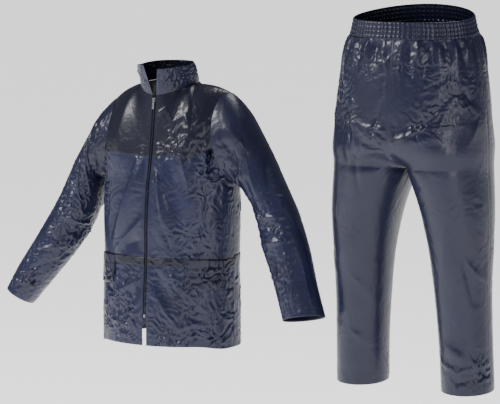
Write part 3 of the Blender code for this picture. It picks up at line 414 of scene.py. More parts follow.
TROUSER_ZONES[1] = (
    Zone(0.000, -0.300, 0.160, 0.080, 0.0030, 0.034),
    Zone(0.160, -0.620, 0.080, 0.060, 0.0024, 0.034),
    Zone(-0.160, -0.620, 0.080, 0.060, 0.0024, 0.034),
    Zone(0.000, -0.120, 0.250, 0.060, 0.0016, 0.026),
    Zone(0.000, -0.960, 0.250, 0.045, 0.0022, 0.032),
    Zone(0.000, -0.700, 0.400, 0.500, 0.0006, 0.060),
)
COLLAR_ZONES = (
    Zone(0.000, 0.030, 0.200, 0.060, 0.0022, 0.024),
    Zone(0.050, 0.020, 0.040, 0.040, 0.0020, 0.018),
)
COLLAR_CREASES = (
    Crease(0.010, -0.010, 0.055, 0.040, 0.006, 0.0030, 0.8),
    Crease(0.025, -0.015, 0.075, 0.030, 0.006, -0.0030, 0.8),
    Crease(-0.015, 0.000, -0.045, 0.035, 0.006, 0.0030, 0.8),
    Crease(-0.030, -0.012, -0.070, 0.020, 0.006, -0.0030, 0.8),
)
SleeveZone = namedtuple("SleeveZone", "share turn reach_share reach_turn depth size")
SLEEVE_ZONES = {
    1: (
        SleeveZone(0.16, 0.38, 0.14, 0.12, 0.0040, 0.030),
        SleeveZone(0.62, 0.36, 0.10, 0.20, 0.0034, 0.032),
        SleeveZone(0.88, 0.30, 0.10, 0.20, 0.0024, 0.034),
        SleeveZone(0.30, 0.66, 0.30, 0.18, 0.0030, 0.036),
        SleeveZone(0.70, 0.70, 0.20, 0.20, 0.0030, 0.036),
        SleeveZone(0.50, 0.50, 1.00, 1.00, 0.0007, 0.050),
    ),
    -1: (
        SleeveZone(0.14, 0.32, 0.12, 0.16, 0.0046, 0.028),
        SleeveZone(0.46, 0.30, 0.20, 0.18, 0.0040, 0.032),
        SleeveZone(0.70, 0.38, 0.14, 0.20, 0.0044, 0.030),
        SleeveZone(0.92, 0.30, 0.08, 0.20, 0.0034, 0.028),
        SleeveZone(0.40, 0.68, 0.40, 0.20, 0.0034, 0.036),
        SleeveZone(0.50, 0.50, 1.00, 1.00, 0.0008, 0.050),
    ),
}


def curve(table, key):
    """Smooth curves through each column of a table, at an array of keys."""
    columns = [np.array(column, float) for column in zip(*table)]
    keys = columns[0]
    key = np.asarray(key, float)
    right = np.clip(np.searchsorted(keys, key), 1, len(keys) - 1)
    left = right - 1
    span = keys[right] - keys[left]
    t = np.clip((key - keys[left]) / span, 0.0, 1.0)
    made = []
    for values in columns:
        slopes = np.gradient(values, keys)
        made.append(
            (2 * t**3 - 3 * t**2 + 1) * values[left]
            + (t**3 - 2 * t**2 + t) * span * slopes[left]
            + (3 * t**2 - 2 * t**3) * values[right]
            + (t**3 - t**2) * span * slopes[right]
        )
    return type(table[0])(*made)


def mix(a, b, share):
    return a + (b - a) * share


def ease(x):
    x = np.clip(x, 0.0, 1.0)
    return x * x * (3 - 2 * x)


def power(x, exponent):
    return np.maximum(x, 0.0) ** exponent


def points(x, y, z):
    return np.stack(np.broadcast_arrays(x, y, z), axis=-1).astype(float)


def unit(vectors):
    length = np.linalg.norm(vectors, axis=-1, keepdims=True)
    return vectors / np.maximum(length, 1e-12)


# Base surfaces, the same as the solids' outer faces
def neck_point(angle, side):
    front = np.cos(angle) > 0
    depth = np.where(front, NECK_FRONT_DEPTH, NECK_BACK_DEPTH)
    rise = np.where(front, -NECK_FRONT_DROP, NECK_BACK_RISE)
    return points(
        side * NECK_HALF_WIDTH * np.sin(angle),
        NECK_CENTRE_Y - depth * np.cos(angle),
        rise * np.abs(np.cos(angle)) ** 1.5,
    )


def top_edge(share, side, face):
    quarter = np.clip(share / NECK_SHARE, 0, 1) * math.pi / 2
    neck = neck_point(quarter if face < 0 else math.pi - quarter, side)
    along = np.clip((share - NECK_SHARE) / (1 - NECK_SHARE), 0, 1)
    tip = SLEEVES[side][0]
    shoulder = points(
        side * mix(NECK_HALF_WIDTH, SHOULDER_X, along),
        mix(NECK_CENTRE_Y, SHOULDER_Y, along),
        mix(0.0, tip.outer_z, along) + SHOULDER_ROUND * np.sin(math.pi * along),
    )
    return np.where((share <= NECK_SHARE)[..., None], neck, shoulder)


def body_ring(share, z, side, face, exponent):
    section = curve(TORSO, z)
    angle = share * math.pi / 2
    depth = section.front_depth if face < 0 else section.back_depth
    return points(
        side * section.half_width * power(np.sin(angle), exponent),
        face * depth * power(np.cos(angle), exponent) + SIDE_SEAM_Y * share,
        z,
    )


def jacket_surface(share, height, side, face):
    """The body of the jacket. Height 0 is the hem, 1 the armpit and 2 the shoulder."""
    share, height = np.broadcast_arrays(share, height)
    lower = np.minimum(height, 1.0)
    below = body_ring(share, mix(HEM_Z, ARMPIT_Z, lower), side, face, 0.9)
    drop = HEM_SIDE_DROP * ease((share - 0.45) / 0.4) - side * share * HEM_TILT
    below[..., 2] -= drop * (1.0 - lower)
    rise = np.maximum(height - 1.0, 0.0)
    exponent = mix(0.9, 0.66, ease(rise / 0.35))
    low = body_ring(share, np.full(share.shape, ARMPIT_Z), side, face, exponent)
    high = top_edge(share, side, face)
    rounding = mix(CHEST_HOLLOW, 1.0, ease(share / NECK_SHARE))
    quarter = rise * math.pi / 2
    inward = mix(rise, 1 - np.cos(quarter), rounding)
    upward = mix(rise, np.sin(quarter), rounding)
    above = points(
        mix(low[..., 0], high[..., 0], mix(rise, inward, 0.5)),
        mix(low[..., 1], high[..., 1], inward),
        mix(low[..., 2], high[..., 2], upward),
    )
    return np.where((height <= 1.0)[..., None], below, above)


def armhole_share(height, face):
    upward = np.sin(np.maximum(height - 1.0, 0.0) * math.pi / 2)
    opening = 2 * np.sqrt(np.maximum(upward * (1 - upward), 0.0))
    reach = ARMHOLE_FRONT if face < 0 else ARMHOLE_BACK
    return np.where(height <= 1.0, 1.0, 1.0 - reach / ARMHOLE_HALF_GIRTH * opening)


def panel_base(u, height, side, face):
    return jacket_surface(u * armhole_share(height, face), height, side, face)


def armhole_ring(side, turn):
    upward = (1 + np.cos(2 * math.pi * turn)) / 2
    height = 1.0 + np.arcsin(np.clip(upward, 0, 1)) * 2 / math.pi
    height = np.clip(height, 1.0 + 1e-9, 2.0)
    front = jacket_surface(armhole_share(height, -1), height, side, -1)
    back = jacket_surface(armhole_share(height, 1), height, side, 1)
    return np.where((turn <= 0.5)[..., None], front, back)


def sleeve_axis(side, share):
    station = curve(SLEEVES[side], share)
    outer = points(side * station.outer_x, station.outer_y, station.outer_z)
    inner = points(side * station.inner_x, station.inner_y, station.inner_z)
    return (outer + inner) / 2, (outer - inner) / 2, station.half_depth


def sleeve_base(side, share, turn):
    """The sleeve. Turn 0 is its outer line and 0.25 its front."""
    centre, width, depth = sleeve_axis(side, share)
    before = sleeve_axis(side, np.maximum(share - 0.05, 0.0))[0]
    after = sleeve_axis(side, np.minimum(share + 0.05, 1.0))[0]
    front = unit(np.cross(after - before, width)) * side
    angle = (turn * 2 * math.pi)[..., None]
    ring = centre + width * np.cos(angle) + front * depth[..., None] * np.sin(angle)
    edge = armhole_ring(side, turn)
    lowness = (1 - np.cos(2 * math.pi * turn)) / 2
    edge[..., 0] += side * (SLEEVE_SET_OUT + UNDERARM_SET_OUT * lowness)
    return mix(edge, ring, ease(share / SLEEVE_JOIN_SHARE)[..., None]), centre


def collar_base(angle, height, side):
    front = COLLAR_FRONTS[side]
    start = math.asin((FRONT_EDGE - 0.0010) / NECK_HALF_WIDTH)
    share = (angle - start) / (math.pi - start)
    bottom = neck_point(angle, side)
    bottom[..., 2] += SEAM_GAP * 0.5
    top_angle = mix(front.top_angle, math.pi, share)
    depth = np.where(np.cos(top_angle) > 0, COLLAR_TOP_FRONT_DEPTH, COLLAR_TOP_BACK_DEPTH)
    near_front = ease(1.0 - share / 0.45)
    top_z = mix(COLLAR_TOP_BACK_Z, COLLAR_TOP_FRONT_Z, ease(1 - share / 0.8))
    top = points(
        side * COLLAR_TOP_HALF_WIDTH * np.sin(top_angle),
        COLLAR_TOP_CENTRE_Y - depth * np.cos(top_angle) + front.lean * near_front,
        top_z + front.lift * near_front,
    )
    point = mix(bottom, top, height[..., None])
    bulge = 0.004 * np.sin(math.pi * height) * np.sin(share * math.pi) ** 2
    outward = unit(points(point[..., 0], point[..., 1] - NECK_CENTRE_Y, 0.0))
    return point + outward * bulge[..., None]


def leg_ring(u, z, face):
    section = curve(LEG, z)
    depth = section.front_depth if face < 0 else section.back_depth
    angle = u * math.pi
    return points(
        section.centre_x - section.half_width * np.cos(angle),
        section.centre_y + face * depth * power(np.sin(angle), 0.94),
        z,
    )


def hip_ring(u, z, face):
    section = curve(HIPS, z)
    depth = section.front_depth if face < 0 else section.back_depth
    angle = u * math.pi / 2
    return points(
        section.half_width * power(np.sin(angle), 0.92),
        face * depth * power(np.cos(angle), 0.92),
        z,
    )


def waist_rise(y, front_depth):
    share = y / front_depth
    return WAIST_TILT * share + WAIST_BACK_RISE * share * share


def trouser_base(u, height, face):
    """A trouser panel. Height 0 is the hem, 1 the crotch, 2 the fork's top, 3 the waist seam."""
    u, height = np.broadcast_arrays(u, height)
    fork_z = FRONT_FORK_Z if face < 0 else BACK_FORK_Z
    low = np.clip(height, 0, 1)
    leg = leg_ring(u, mix(LEG[0].z, CROTCH_Z, low), face)
    leg[..., 2] += HEM_FRONT_DROP * face * np.sin(u * math.pi) * (1.0 - low) ** 2
    rise = np.clip(height - 1.0, 0, 1)
    quarter = rise * math.pi / 2
    inner_z = mix(CROTCH_Z, fork_z, 1 - np.cos(quarter))
    side_z = mix(CROTCH_Z, fork_z, rise)
    leg_top = leg_ring(u, np.full(u.shape, CROTCH_Z), face)
    fork = mix(leg_top, hip_ring(u, side_z, face), np.sin(quarter)[..., None])
    fork[..., 1] *= 1.0 + FORK_FULLNESS * np.sin(math.pi * rise) ** 2
    fork[..., 2] = mix(inner_z, side_z, u**0.6)
    high = np.clip(height - 2.0, 0, 1)
    hip = hip_ring(u, mix(fork_z, BAND_BOTTOM, high), face)
    hip[..., 2] += waist_rise(hip[..., 1], curve(HIPS, hip[..., 2]).front_depth) * high
    found = np.where((height <= 1.0)[..., None], leg, fork)
    return np.where((height > 2.0)[..., None], hip, found)


# Relief
def normals(grid, closed=False):
    if closed:
        across = np.roll(grid, -1, axis=1) - np.roll(grid, 1, axis=1)
    else:
        across = np.gradient(grid, axis=1)
    return unit(np.cross(across, np.gradient(grid, axis=0)))


def outward(grid, axis, closed=False):
    """The grid's normals, turned to point away from a place inside the garment."""
    out = normals(grid, closed)
    return out if np.einsum("ijk,ijk->", out, grid - axis) > 0 else -out


def crease_relief(x, z, crease):
    x1, z1, x2, z2, width, height, sharp = crease
    along_x, along_z = x2 - x1, z2 - z1
    share = ((x - x1) * along_x + (z - z1) * along_z) / (along_x**2 + along_z**2)
    held = np.clip(share, 0.0, 1.0)
    distance = np.hypot(x - x1 - along_x * held, z - z1 - along_z * held)
    fade = 0.35 + 0.65 * np.sin(math.pi * held)
    soft = np.exp(-((distance / width) ** 2))
    pinched = np.exp(-distance / (width * 0.7))
    return height * fade * mix(soft, pinched, sharp)


def creases_relief(x, z, creases):
    return sum(crease_relief(x, z, crease) for crease in creases)


def waves(grid, size, rng):
    """A smooth random field through the grid's points, about 1 high."""
    total = np.zeros(grid.shape[:2])
    for _ in range(WAVES):
        direction = rng.normal(size=3)
        direction /= np.linalg.norm(direction)
        wave = 2 * math.pi / size * (0.6 + 0.8 * rng.random())
        total += np.cos(grid @ (direction * wave) + rng.random() * 2 * math.pi)
    return total / math.sqrt(WAVES / 2)


def crumpled(grid, size, seed):
    """Crumpled film: sharp ridges and valleys with flat facets between, uneven from place to place."""
    rng = np.random.default_rng(seed)
    bent = grid + 0.35 * size * np.stack([waves(grid, size * 2.2, rng) for _ in range(3)], axis=-1)
    ridges = 0.8 - np.abs(waves(bent, size, rng))
    valleys = np.abs(waves(bent, size * 1.1, rng)) - 0.8
    small = 0.8 - np.abs(waves(bent, size * 0.45, rng))
    uneven = 0.45 + 0.55 * np.abs(waves(grid, size * 3.0, rng))
    return (0.6 * ridges + 0.4 * valleys + 0.28 * small) * uneven


def zones_relief(grid, across, up, zones, seed):
    relief = np.zeros(grid.shape[:2])
    for count, (x, z, reach_x, reach_z, depth, size) in enumerate(zones):
        mask = np.exp(-(((across - x) / reach_x) ** 2) - ((up - z) / reach_z) ** 2)
        relief += depth * mask * crumpled(grid, size, seed + count)
    return relief


def edge_fade(shape, left=0.0, right=0.0, low=0.0, high=0.0, least=0.0):
    """1 inside a grid, easing down within these shares of its edges."""
    u = np.linspace(0, 1, shape[1])[None, :]
    v = np.linspace(0, 1, shape[0])[:, None]
    fade = np.ones(shape)
    for distance, width in ((u, left), (1 - u, right), (v, low), (1 - v, high)):
        if width > 0:
            fade = fade * ease(distance / width)
    return least + (1 - least) * fade


def softened(grid, weight, passes):
    """Smooths a grid along its columns, as much as weight says."""
    for _ in range(passes):
        smooth = grid.copy()
        smooth[1:-1] = (grid[:-2] + 2 * grid[1:-1] + grid[2:]) / 4
        grid = mix(grid, smooth, weight[..., None])
    return grid


# Meshes
def new_mesh(name, vertices, faces, finish, smooth=True):
    mesh = bpy.data.meshes.new(name)
    mesh.from_pydata(vertices.tolist(), [], faces.tolist())
    if smooth:
        mesh.shade_smooth()
    mesh.materials.append(finish)
    made = bpy.data.objects.new(name, mesh)
    bpy.context.scene.collection.objects.link(made)
    return made


def grid_faces(rows, columns, closed=False):
    index = np.arange(rows * columns).reshape(rows, columns)
    right = np.roll(index, -1, axis=1)
    if not closed:
        index, right = index[:, :-1], index[:, 1:]
    return np.stack([index[:-1], right[:-1], right[1:], index[1:]], axis=-1).reshape(-1, 4)


def cloth_piece(node, grid, out, doubled_and_shade, closed=False):
    """One piece of cloth that stands for its solid and hides it."""
    faces = grid_faces(*grid.shape[:2], closed)
    facing = normals(grid, closed)
    middle = tuple(n // 2 for n in grid.shape[:2])
    if facing[middle] @ out[middle] < 0:
        faces = faces[:, ::-1]
    made = new_mesh(f"{node}_cloth", grid.reshape(-1, 3), faces, CLOTH_FINISH)
    layer = made.data.attributes.new("doubled_and_shade", "FLOAT", "POINT")
    values = np.broadcast_to(doubled_and_shade, grid.shape[:2]).astype(np.float32)
    layer.data.foreach_set("value", values.ravel())
    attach(made, "suit")
    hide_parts(node)
    return made


def turned_in(grid, out, rows, gap, at_end=False):
    """Adds a hem folded up inside a grid's first or last rows."""
    inner = grid - out * gap
    if at_end:
        return np.concatenate([grid, inner[-2 : -rows - 2 : -1]], axis=0)
    return np.concatenate([inner[rows:0:-1], grid], axis=0)


def lapped(grid, out, lap, gap):
    """Adds a seam allowance inside a grid's last column."""
    along = unit(grid[:, -1] - grid[:, -2])
    extra = grid[:, -1] + along * lap - out[:, -1] * gap
    return np.concatenate([grid, extra[:, None]], axis=1)


class Stitching:
    """Rows of stitches, gathered into one mesh."""

    def __init__(self, name):
        self.name = name
        self.vertices = []

    def sew(self, path, out, raise_by=0.0004):
        steps = np.linalg.norm(np.diff(path, axis=0), axis=1)
        length = np.concatenate([[0.0], np.cumsum(steps)])
        starts = np.arange(0.001, length[-1] - STITCH_LENGTH, STITCH_PITCH)
        if len(starts) == 0:
            return

        def at(places, values):
            return np.stack([np.interp(places, length, values[:, k]) for k in range(3)], axis=-1)

        first = at(starts, path)
        last = at(starts + STITCH_LENGTH, path)
        up = unit(at(starts, out))
        side = unit(np.cross(last - first, up)) * STITCH_WIDTH / 2
        low = up * (raise_by - 0.0002)
        high = up * (raise_by + STITCH_HEIGHT)
        inset = (last - first) * 0.2
        corners = [
            first - side + low, first + side + low, last + side + low, last - side + low,
            first - side * 0.6 + inset + high, first + side * 0.6 + inset + high,
            last + side * 0.6 - inset + high, last - side * 0.6 - inset + high,
        ]
        self.vertices.append(np.stack(corners, axis=1))

    def finish(self, slot):
        vertices = np.concatenate(self.vertices)
        sides = np.array([[4, 5, 6, 7], [0, 1, 5, 4], [1, 2, 6, 5], [2, 3, 7, 6], [3, 0, 4, 7]])
        faces = (np.arange(len(vertices))[:, None, None] * 8 + sides).reshape(-1, 4)
        made = new_mesh(self.name, vertices.reshape(-1, 3), faces, THREAD_FINISH, smooth=False)
        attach(made, "suit")


def level_path(grid, out, z, columns=None):
    """The line at a height across a panel, with the surface's normals along it."""
    path, facing = [], []
    for j in columns if columns is not None else range(grid.shape[1]):
        row = np.interp(z, grid[:, j, 2], np.arange(grid.shape[0]))
        k = min(int(row), grid.shape[0] - 2)
        path.append(mix(grid[k, j], grid[k + 1, j], row - k))
        facing.append(out[k, j])
    return np.array(path), np.array(facing)


# Materials
def shader_material(name):
    made = bpy.data.materials.new(name)
    made.use_nodes = True
    return made, made.node_tree.nodes, made.node_tree.links


def cloth_material(name, single, doubled_and_shade, roughness):
    """Coated nylon: a glossy film over fine weave, creased, darker where it is doubled and where a fold's shade is
    painted.
    """
    made, nodes, links = shader_material(name)
    shader = nodes["Principled BSDF"]
    shader.inputs["Roughness"].default_value = roughness
    shader.inputs["Specular IOR Level"].default_value = 0.38
    shader.inputs["Coat Weight"].default_value = 0.06
    shader.inputs["Coat Roughness"].default_value = 0.2
    place = nodes.new("ShaderNodeTexCoord")
    layer = nodes.new("ShaderNodeAttribute")
    layer.attribute_name = "doubled_and_shade"
    blotch = nodes.new("ShaderNodeTexNoise")
    blotch.inputs["Scale"].default_value = 14.0
    blotch.inputs["Detail"].default_value = 5.0
    links.new(place.outputs["Object"], blotch.inputs["Vector"])
    colour = nodes.new("ShaderNodeMix")
    colour.data_type = "RGBA"
    colour.inputs["A"].default_value = single
    colour.inputs["B"].default_value = doubled_and_shade
    links.new(layer.outputs["Fac"], colour.inputs["Factor"])
    ramp = nodes.new("ShaderNodeValToRGB")
    ramp.color_ramp.elements[0].position = 0.30
    ramp.color_ramp.elements[0].color = (0.60, 0.60, 0.64, 1)
    ramp.color_ramp.elements[1].position = 0.70
    ramp.color_ramp.elements[1].color = (1.0, 1.0, 1.0, 1)
    links.new(blotch.outputs["Fac"], ramp.inputs["Fac"])
    varied = nodes.new("ShaderNodeMix")
    varied.data_type = "RGBA"
    varied.blend_type = "MULTIPLY"
    varied.inputs["Factor"].default_value = 0.8
    links.new(colour.outputs["Result"], varied.inputs["A"])
    links.new(ramp.outputs["Color"], varied.inputs["B"])
    links.new(varied.outputs["Result"], shader.inputs["Base Color"])
    weave = nodes.new("ShaderNodeTexNoise")
    weave.inputs["Scale"].default_value = 900.0
    weave.inputs["Detail"].default_value = 2.0
    links.new(place.outputs["Object"], weave.inputs["Vector"])
    warp = nodes.new("ShaderNodeTexNoise")
    warp.inputs["Scale"].default_value = 16.0
    warp.inputs["Detail"].default_value = 4.0
    bent = nodes.new("ShaderNodeMix")
    bent.data_type = "VECTOR"
    bent.inputs["Factor"].default_value = 0.10
    links.new(place.outputs["Object"], warp.inputs["Vector"])
    links.new(place.outputs["Object"], bent.inputs["A"])
    links.new(warp.outputs["Color"], bent.inputs["B"])
    crease = nodes.new("ShaderNodeTexVoronoi")
    crease.feature = "DISTANCE_TO_EDGE"
    crease.inputs["Scale"].default_value = 60.0
    links.new(bent.outputs["Result"], crease.inputs["Vector"])
    fine = nodes.new("ShaderNodeBump")
    fine.inputs["Strength"].default_value = 0.10
    fine.inputs["Distance"].default_value = 0.0003
    links.new(weave.outputs["Fac"], fine.inputs["Height"])
    coarse = nodes.new("ShaderNodeBump")
    coarse.inputs["Strength"].default_value = 0.35
    coarse.inputs["Distance"].default_value = 0.0015
    links.new(crease.outputs["Distance"], coarse.inputs["Height"])
    links.new(fine.outputs["Normal"], coarse.inputs["Normal"])
    links.new(coarse.outputs["Normal"], shader.inputs["Normal"])
    return made


def plain_material(name, colour, roughness, metallic=0.0, scale=400.0, bump=0.0002):
    made, nodes, links = shader_material(name)
    shader = nodes["Principled BSDF"]
    shader.inputs["Roughness"].default_value = roughness
    shader.inputs["Metallic"].default_value = metallic
    place = nodes.new("ShaderNodeTexCoord")
    grain = nodes.new("ShaderNodeTexNoise")
    grain.inputs["Scale"].default_value = scale
    links.new(place.outputs["Object"], grain.inputs["Vector"])
    ramp = nodes.new("ShaderNodeValToRGB")
    ramp.color_ramp.elements[0].color = tuple(c * 0.75 for c in colour[:3]) + (1,)
    ramp.color_ramp.elements[1].color = tuple(min(c * 1.25, 1.0) for c in colour[:3]) + (1,)
    links.new(grain.outputs["Fac"], ramp.inputs["Fac"])
    links.new(ramp.outputs["Color"], shader.inputs["Base Color"])
    bumped = nodes.new("ShaderNodeBump")
    bumped.inputs["Strength"].default_value = 0.3
    bumped.inputs["Distance"].default_value = bump
    links.new(grain.outputs["Fac"], bumped.inputs["Height"])
    links.new(bumped.outputs["Normal"], shader.inputs["Normal"])
    return made


CLOTH_FINISH = cloth_material("coated_cloth_look", SINGLE, DOUBLED_AND_SHADE, 0.36)
TAPE_FINISH = plain_material("zip_tape_look", (0.010, 0.011, 0.022, 1), 0.75, scale=1500.0)
TOOTH_FINISH = plain_material("zip_tooth_look", (0.030, 0.032, 0.055, 1), 0.35, scale=700.0)
METAL_FINISH = plain_material("zip_metal_look", (0.20, 0.20, 0.22, 1), 0.38, 0.8, scale=300.0)
THREAD_FINISH = plain_material("thread_look", (0.050, 0.054, 0.100, 1), 0.6, scale=2500.0)


# Jacket
def panel_heights(count):
    """Heights from hem to shoulder, denser round the armhole."""
    lower = np.linspace(0.0, 1.0, int(count * 0.62), endpoint=False)
    turns = np.linspace(0.0, math.pi, count - len(lower))
    return np.concatenate([lower, 1.0 + np.arcsin((1 - np.cos(turns)) / 2) * 2 / math.pi])


def half_panel(side, face, rows, columns):
    """Half of the body's front or back, with its largest folds."""
    u = np.linspace(0.0, 0.9985, columns)[None, :]
    height = panel_heights(rows)[:, None]
    grid = panel_base(u, height, side, face)
    near_armpit = np.exp(-(((height - 1.0) / 0.10) ** 2)) * ease((1 - u) / 0.2)
    grid = softened(grid, near_armpit * np.ones(grid.shape[:2]), 90)
    folds = creases_relief(grid[..., 0], grid[..., 2], JACKET_FOLDS[face])
    folds = folds * ease((1 - u) / 0.12) * ease((2 - height) / 0.18)
    if face < 0:
        folds = folds * ease(u / 0.06)
        edge = FRONT_EDGE - 0.0010 * ease((grid[..., 2] - ZIP_BOTTOM_Z) / 0.02)
        grid[..., 0] += side * edge * np.maximum(1 - u / NECK_SHARE, 0.0)
    return grid + outward(grid, BODY_AXIS) * folds[..., None]


def doubled_and_shade_tone(grid, face):
    """The yoke and the casing are doubled, so they look darker. A patch low on the front is painted shade from a fold.
    """
    x, z = grid[..., 0], grid[..., 2]
    ragged = 0.0015 * np.sin(x * 300)
    if face < 0:
        ragged = ragged + ease((x - 0.02) / 0.08) * (0.012 * np.sin(x * 70) + 0.008 * np.sin(x * 190))
    yoke = ease((z - YOKE_BOTTOM_Z + ragged) / 0.004)
    casing = ease((z - CASING_BOTTOM_Z) / 0.002) * ease((CASING_TOP_Z - z) / 0.002)
    # painted shade: a dark patch on the front skirt where a fold falls in shadow, mixed 0.8 towards the doubled colour
    painted_fold_shade = np.exp(-(((x - 0.095) / 0.035) ** 2) - ((z + 0.610) / 0.035) ** 2) * (face < 0)
    return np.maximum.reduce([yoke, casing, 0.8 * painted_fold_shade])


def seam_pucker(grid, out, z, depth):
    """A seam across a panel sinks it a little along its line."""
    return -depth * np.exp(-(((grid[..., 2] - z) / 0.003) ** 2))


def dressed(grid, face, seed):
    """A body panel with its smaller creases and crumples."""
    out = outward(grid, BODY_AXIS)
    x, z = grid[..., 0], grid[..., 2]
    relief = creases_relief(x, z, JACKET_CREASES[face])
    relief = relief + zones_relief(grid, x, z, JACKET_ZONES[face], seed)
    smooth_patch = np.exp(-(((x - 0.095) / 0.035) ** 2) - ((z + 0.610) / 0.035) ** 2) * (face < 0)
    relief = relief * (1 - 0.6 * smooth_patch)
    return out, relief + seam_pucker(grid, out, YOKE_BOTTOM_Z, 0.0007)


def sew_panel(stitching, grid, out):
    for z in (YOKE_BOTTOM_Z + 0.003, CASING_BOTTOM_Z - 0.004, HEM_Z + 0.022):
        stitching.sew(*level_path(grid, out, z))


def add_strips(node, grid, out):
    low, high = (int(np.interp(z, grid[:170, 2, 2], np.arange(170))) for z in (CASING_BOTTOM_Z, CASING_TOP_Z))
    strip = (grid + out * CASING_STAND_OFF)[low : high + 1]
    facing = out[low : high + 1]
    edge = strip - facing * (CASING_STAND_OFF * 0.8)
    strip = np.concatenate([edge[:1], strip, edge[-1:]], axis=0)
    facing = np.concatenate([facing[:1], facing, facing[-1:]], axis=0)
    cloth_piece(node, strip, facing, 1.0)
    return strip, facing


def add_flap(side, name, grid, out, stitching):
    levels = (FLAP_BOTTOM_Z, CASING_TOP_Z - 0.004)
    low, high = (int(np.interp(z, grid[:170, 2, 2], np.arange(170))) for z in levels)
    first, last = (int(share * (grid.shape[1] - 1)) for share in (FLAP_FROM, FLAP_TO))
    flap = (grid + out * FLAP_STAND_OFF)[low : high + 1, first : last + 1]
    facing = out[low : high + 1, first : last + 1]
    rim = flap - facing * 0.0016
    flap = np.concatenate([rim[:1], flap, rim[-1:]], axis=0)
    facing = np.concatenate([facing[:1], facing, facing[-1:]], axis=0)
    flap = np.concatenate([flap[:, :1] - facing[:, :1] * 0.0016, flap, flap[:, -1:] - facing[:, -1:] * 0.0016], axis=1)
    facing = np.concatenate([facing[:, :1], facing, facing[:, -1:]], axis=1)
    flap_node = f"pocket_flap_{name}"
    cloth_piece(flap_node, flap, facing, 0.55)
    rows = flap.shape[0]
    for row in (3, int(rows * 0.28), int(rows * 0.62), rows - 5):
        stitching.sew(flap[row, 2:-2], facing[row, 2:-2])
    for column in (3, flap.shape[1] - 4):
        stitching.sew(flap[2:-2, column], facing[2:-2, column])


def add_body(stitching):
    centre_line = None
    for side, name in ((1, "left"), (-1, "right")):
        grid = half_panel(side, -1, FRONT_ROWS, FRONT_COLUMNS)
        centre_line = grid[:, 0] if centre_line is None else centre_line
        out, relief = dressed(grid, -1, 11)
        relief = relief * edge_fade(relief.shape, left=0.03, right=0.03, high=0.02, low=0.01, least=0.12)
        relief[:, -1] = 0.0
        grid = grid + out * relief[..., None]
        out = outward(grid, BODY_AXIS)
        sew_panel(stitching, grid, out)
        stitching.sew(grid[8:-12, 2], out[8:-12, 2])
        stitching.sew(grid[5:170, -4], out[5:170, -4])
        add_strips(f"casing_front_{name}", grid, out)
        add_flap(side, name, grid, out, stitching)
        tone = doubled_and_shade_tone(grid, -1)
        full = turned_in(lapped(grid, out, 0.005, 0.0012), np.concatenate([out, out[:, -1:]], axis=1), 8, 0.0010)
        tone = np.concatenate([tone, tone[:, -1:]], axis=1)
        tone = np.concatenate([np.ones((8, tone.shape[1])), tone], axis=0)
        facing = np.concatenate([out[8:0:-1], out], axis=0)
        facing = np.concatenate([facing, facing[:, -1:]], axis=1)
        cloth_piece(f"jacket_front_{name}", full, facing, tone)
    right = half_panel(-1, 1, BACK_ROWS, BACK_COLUMNS)
    left = half_panel(1, 1, BACK_ROWS, BACK_COLUMNS)
    grid = np.concatenate([right[:, ::-1], left[:, 1:]], axis=1)
    out, relief = dressed(grid, 1, 11)
    relief = relief * edge_fade(relief.shape, left=0.015, right=0.015, high=0.02, low=0.01, least=0.12)
    grid = grid + out * relief[..., None]
    out = outward(grid, BODY_AXIS)
    sew_panel(stitching, grid, out)
    add_strips("casing_back", grid, out)
    tone = np.concatenate([np.ones((8, grid.shape[1])), doubled_and_shade_tone(grid, 1)], axis=0)
    full = turned_in(grid, out, 8, 0.0010)
    facing = np.concatenate([out[8:0:-1], out], axis=0)
    cloth_piece("jacket_back", full, facing, tone)
    return centre_line


def add_sleeve(side, name, stitching):
    share = np.linspace(0.0, 1.0, SLEEVE_ROWS)[:, None] * np.ones((1, SLEEVE_COLUMNS))
    turns = np.linspace(0.0, 1.0, SLEEVE_COLUMNS, endpoint=False)
    turn = np.ones((SLEEVE_ROWS, 1)) * turns[None, :]
    grid, centre = sleeve_base(side, share, turn)
    relief = np.zeros(share.shape)
    for crease in SLEEVE_CREASES[side]:
        middle = (crease.turn1 + crease.turn2) / 2
        near = (turn - middle + 0.5) % 1.0 - 0.5 + middle
        flat = Crease(
            crease.turn1 * SLEEVE_GIRTH, crease.share1 * SLEEVE_LENGTH,
            crease.turn2 * SLEEVE_GIRTH, crease.share2 * SLEEVE_LENGTH,
            crease.width, crease.height, crease.sharp,
        )
        relief += crease_relief(near * SLEEVE_GIRTH, share * SLEEVE_LENGTH, flat)
    relief = relief * ease(share / 0.1) * ease((1.0 - share) / 0.08)
    for count, zone in enumerate(SLEEVE_ZONES[side]):
        near = (turn - zone.turn + 0.5) % 1.0 - 0.5
        mask = np.exp(-((near / zone.reach_turn) ** 2) - ((share - zone.share) / zone.reach_share) ** 2)
        crumple = crumpled(grid, zone.size, 40 + 10 * side + count)
        relief += zone.depth * mask * crumple * ease(share / 0.03) * ease((1.0 - share) / 0.02)
    spoke = unit(grid - centre)
    grid = grid + spoke * relief[..., None]
    out = normals(grid, True)
    out = out if np.einsum("ijk,ijk->", out, spoke) > 0 else -out
    cuff = int(SLEEVE_ROWS * 0.965)
    ring = np.arange(SLEEVE_COLUMNS + 1) % SLEEVE_COLUMNS
    stitching.sew(grid[cuff][ring], out[cuff][ring])
    stitching.sew(grid[2][ring], out[2][ring])
    full = turned_in(grid, out, 10, 0.0010, at_end=True)
    facing = np.concatenate([out, out[-2:-12:-1]], axis=0)
    tone = 0.45 - 0.35 * ease((share - 0.2) / 0.3)
    tone = np.concatenate([tone, np.ones((10, SLEEVE_COLUMNS))], axis=0)
    cloth_piece(
        f"jacket_sleeve_{name}", full, facing, tone, closed=True
    )


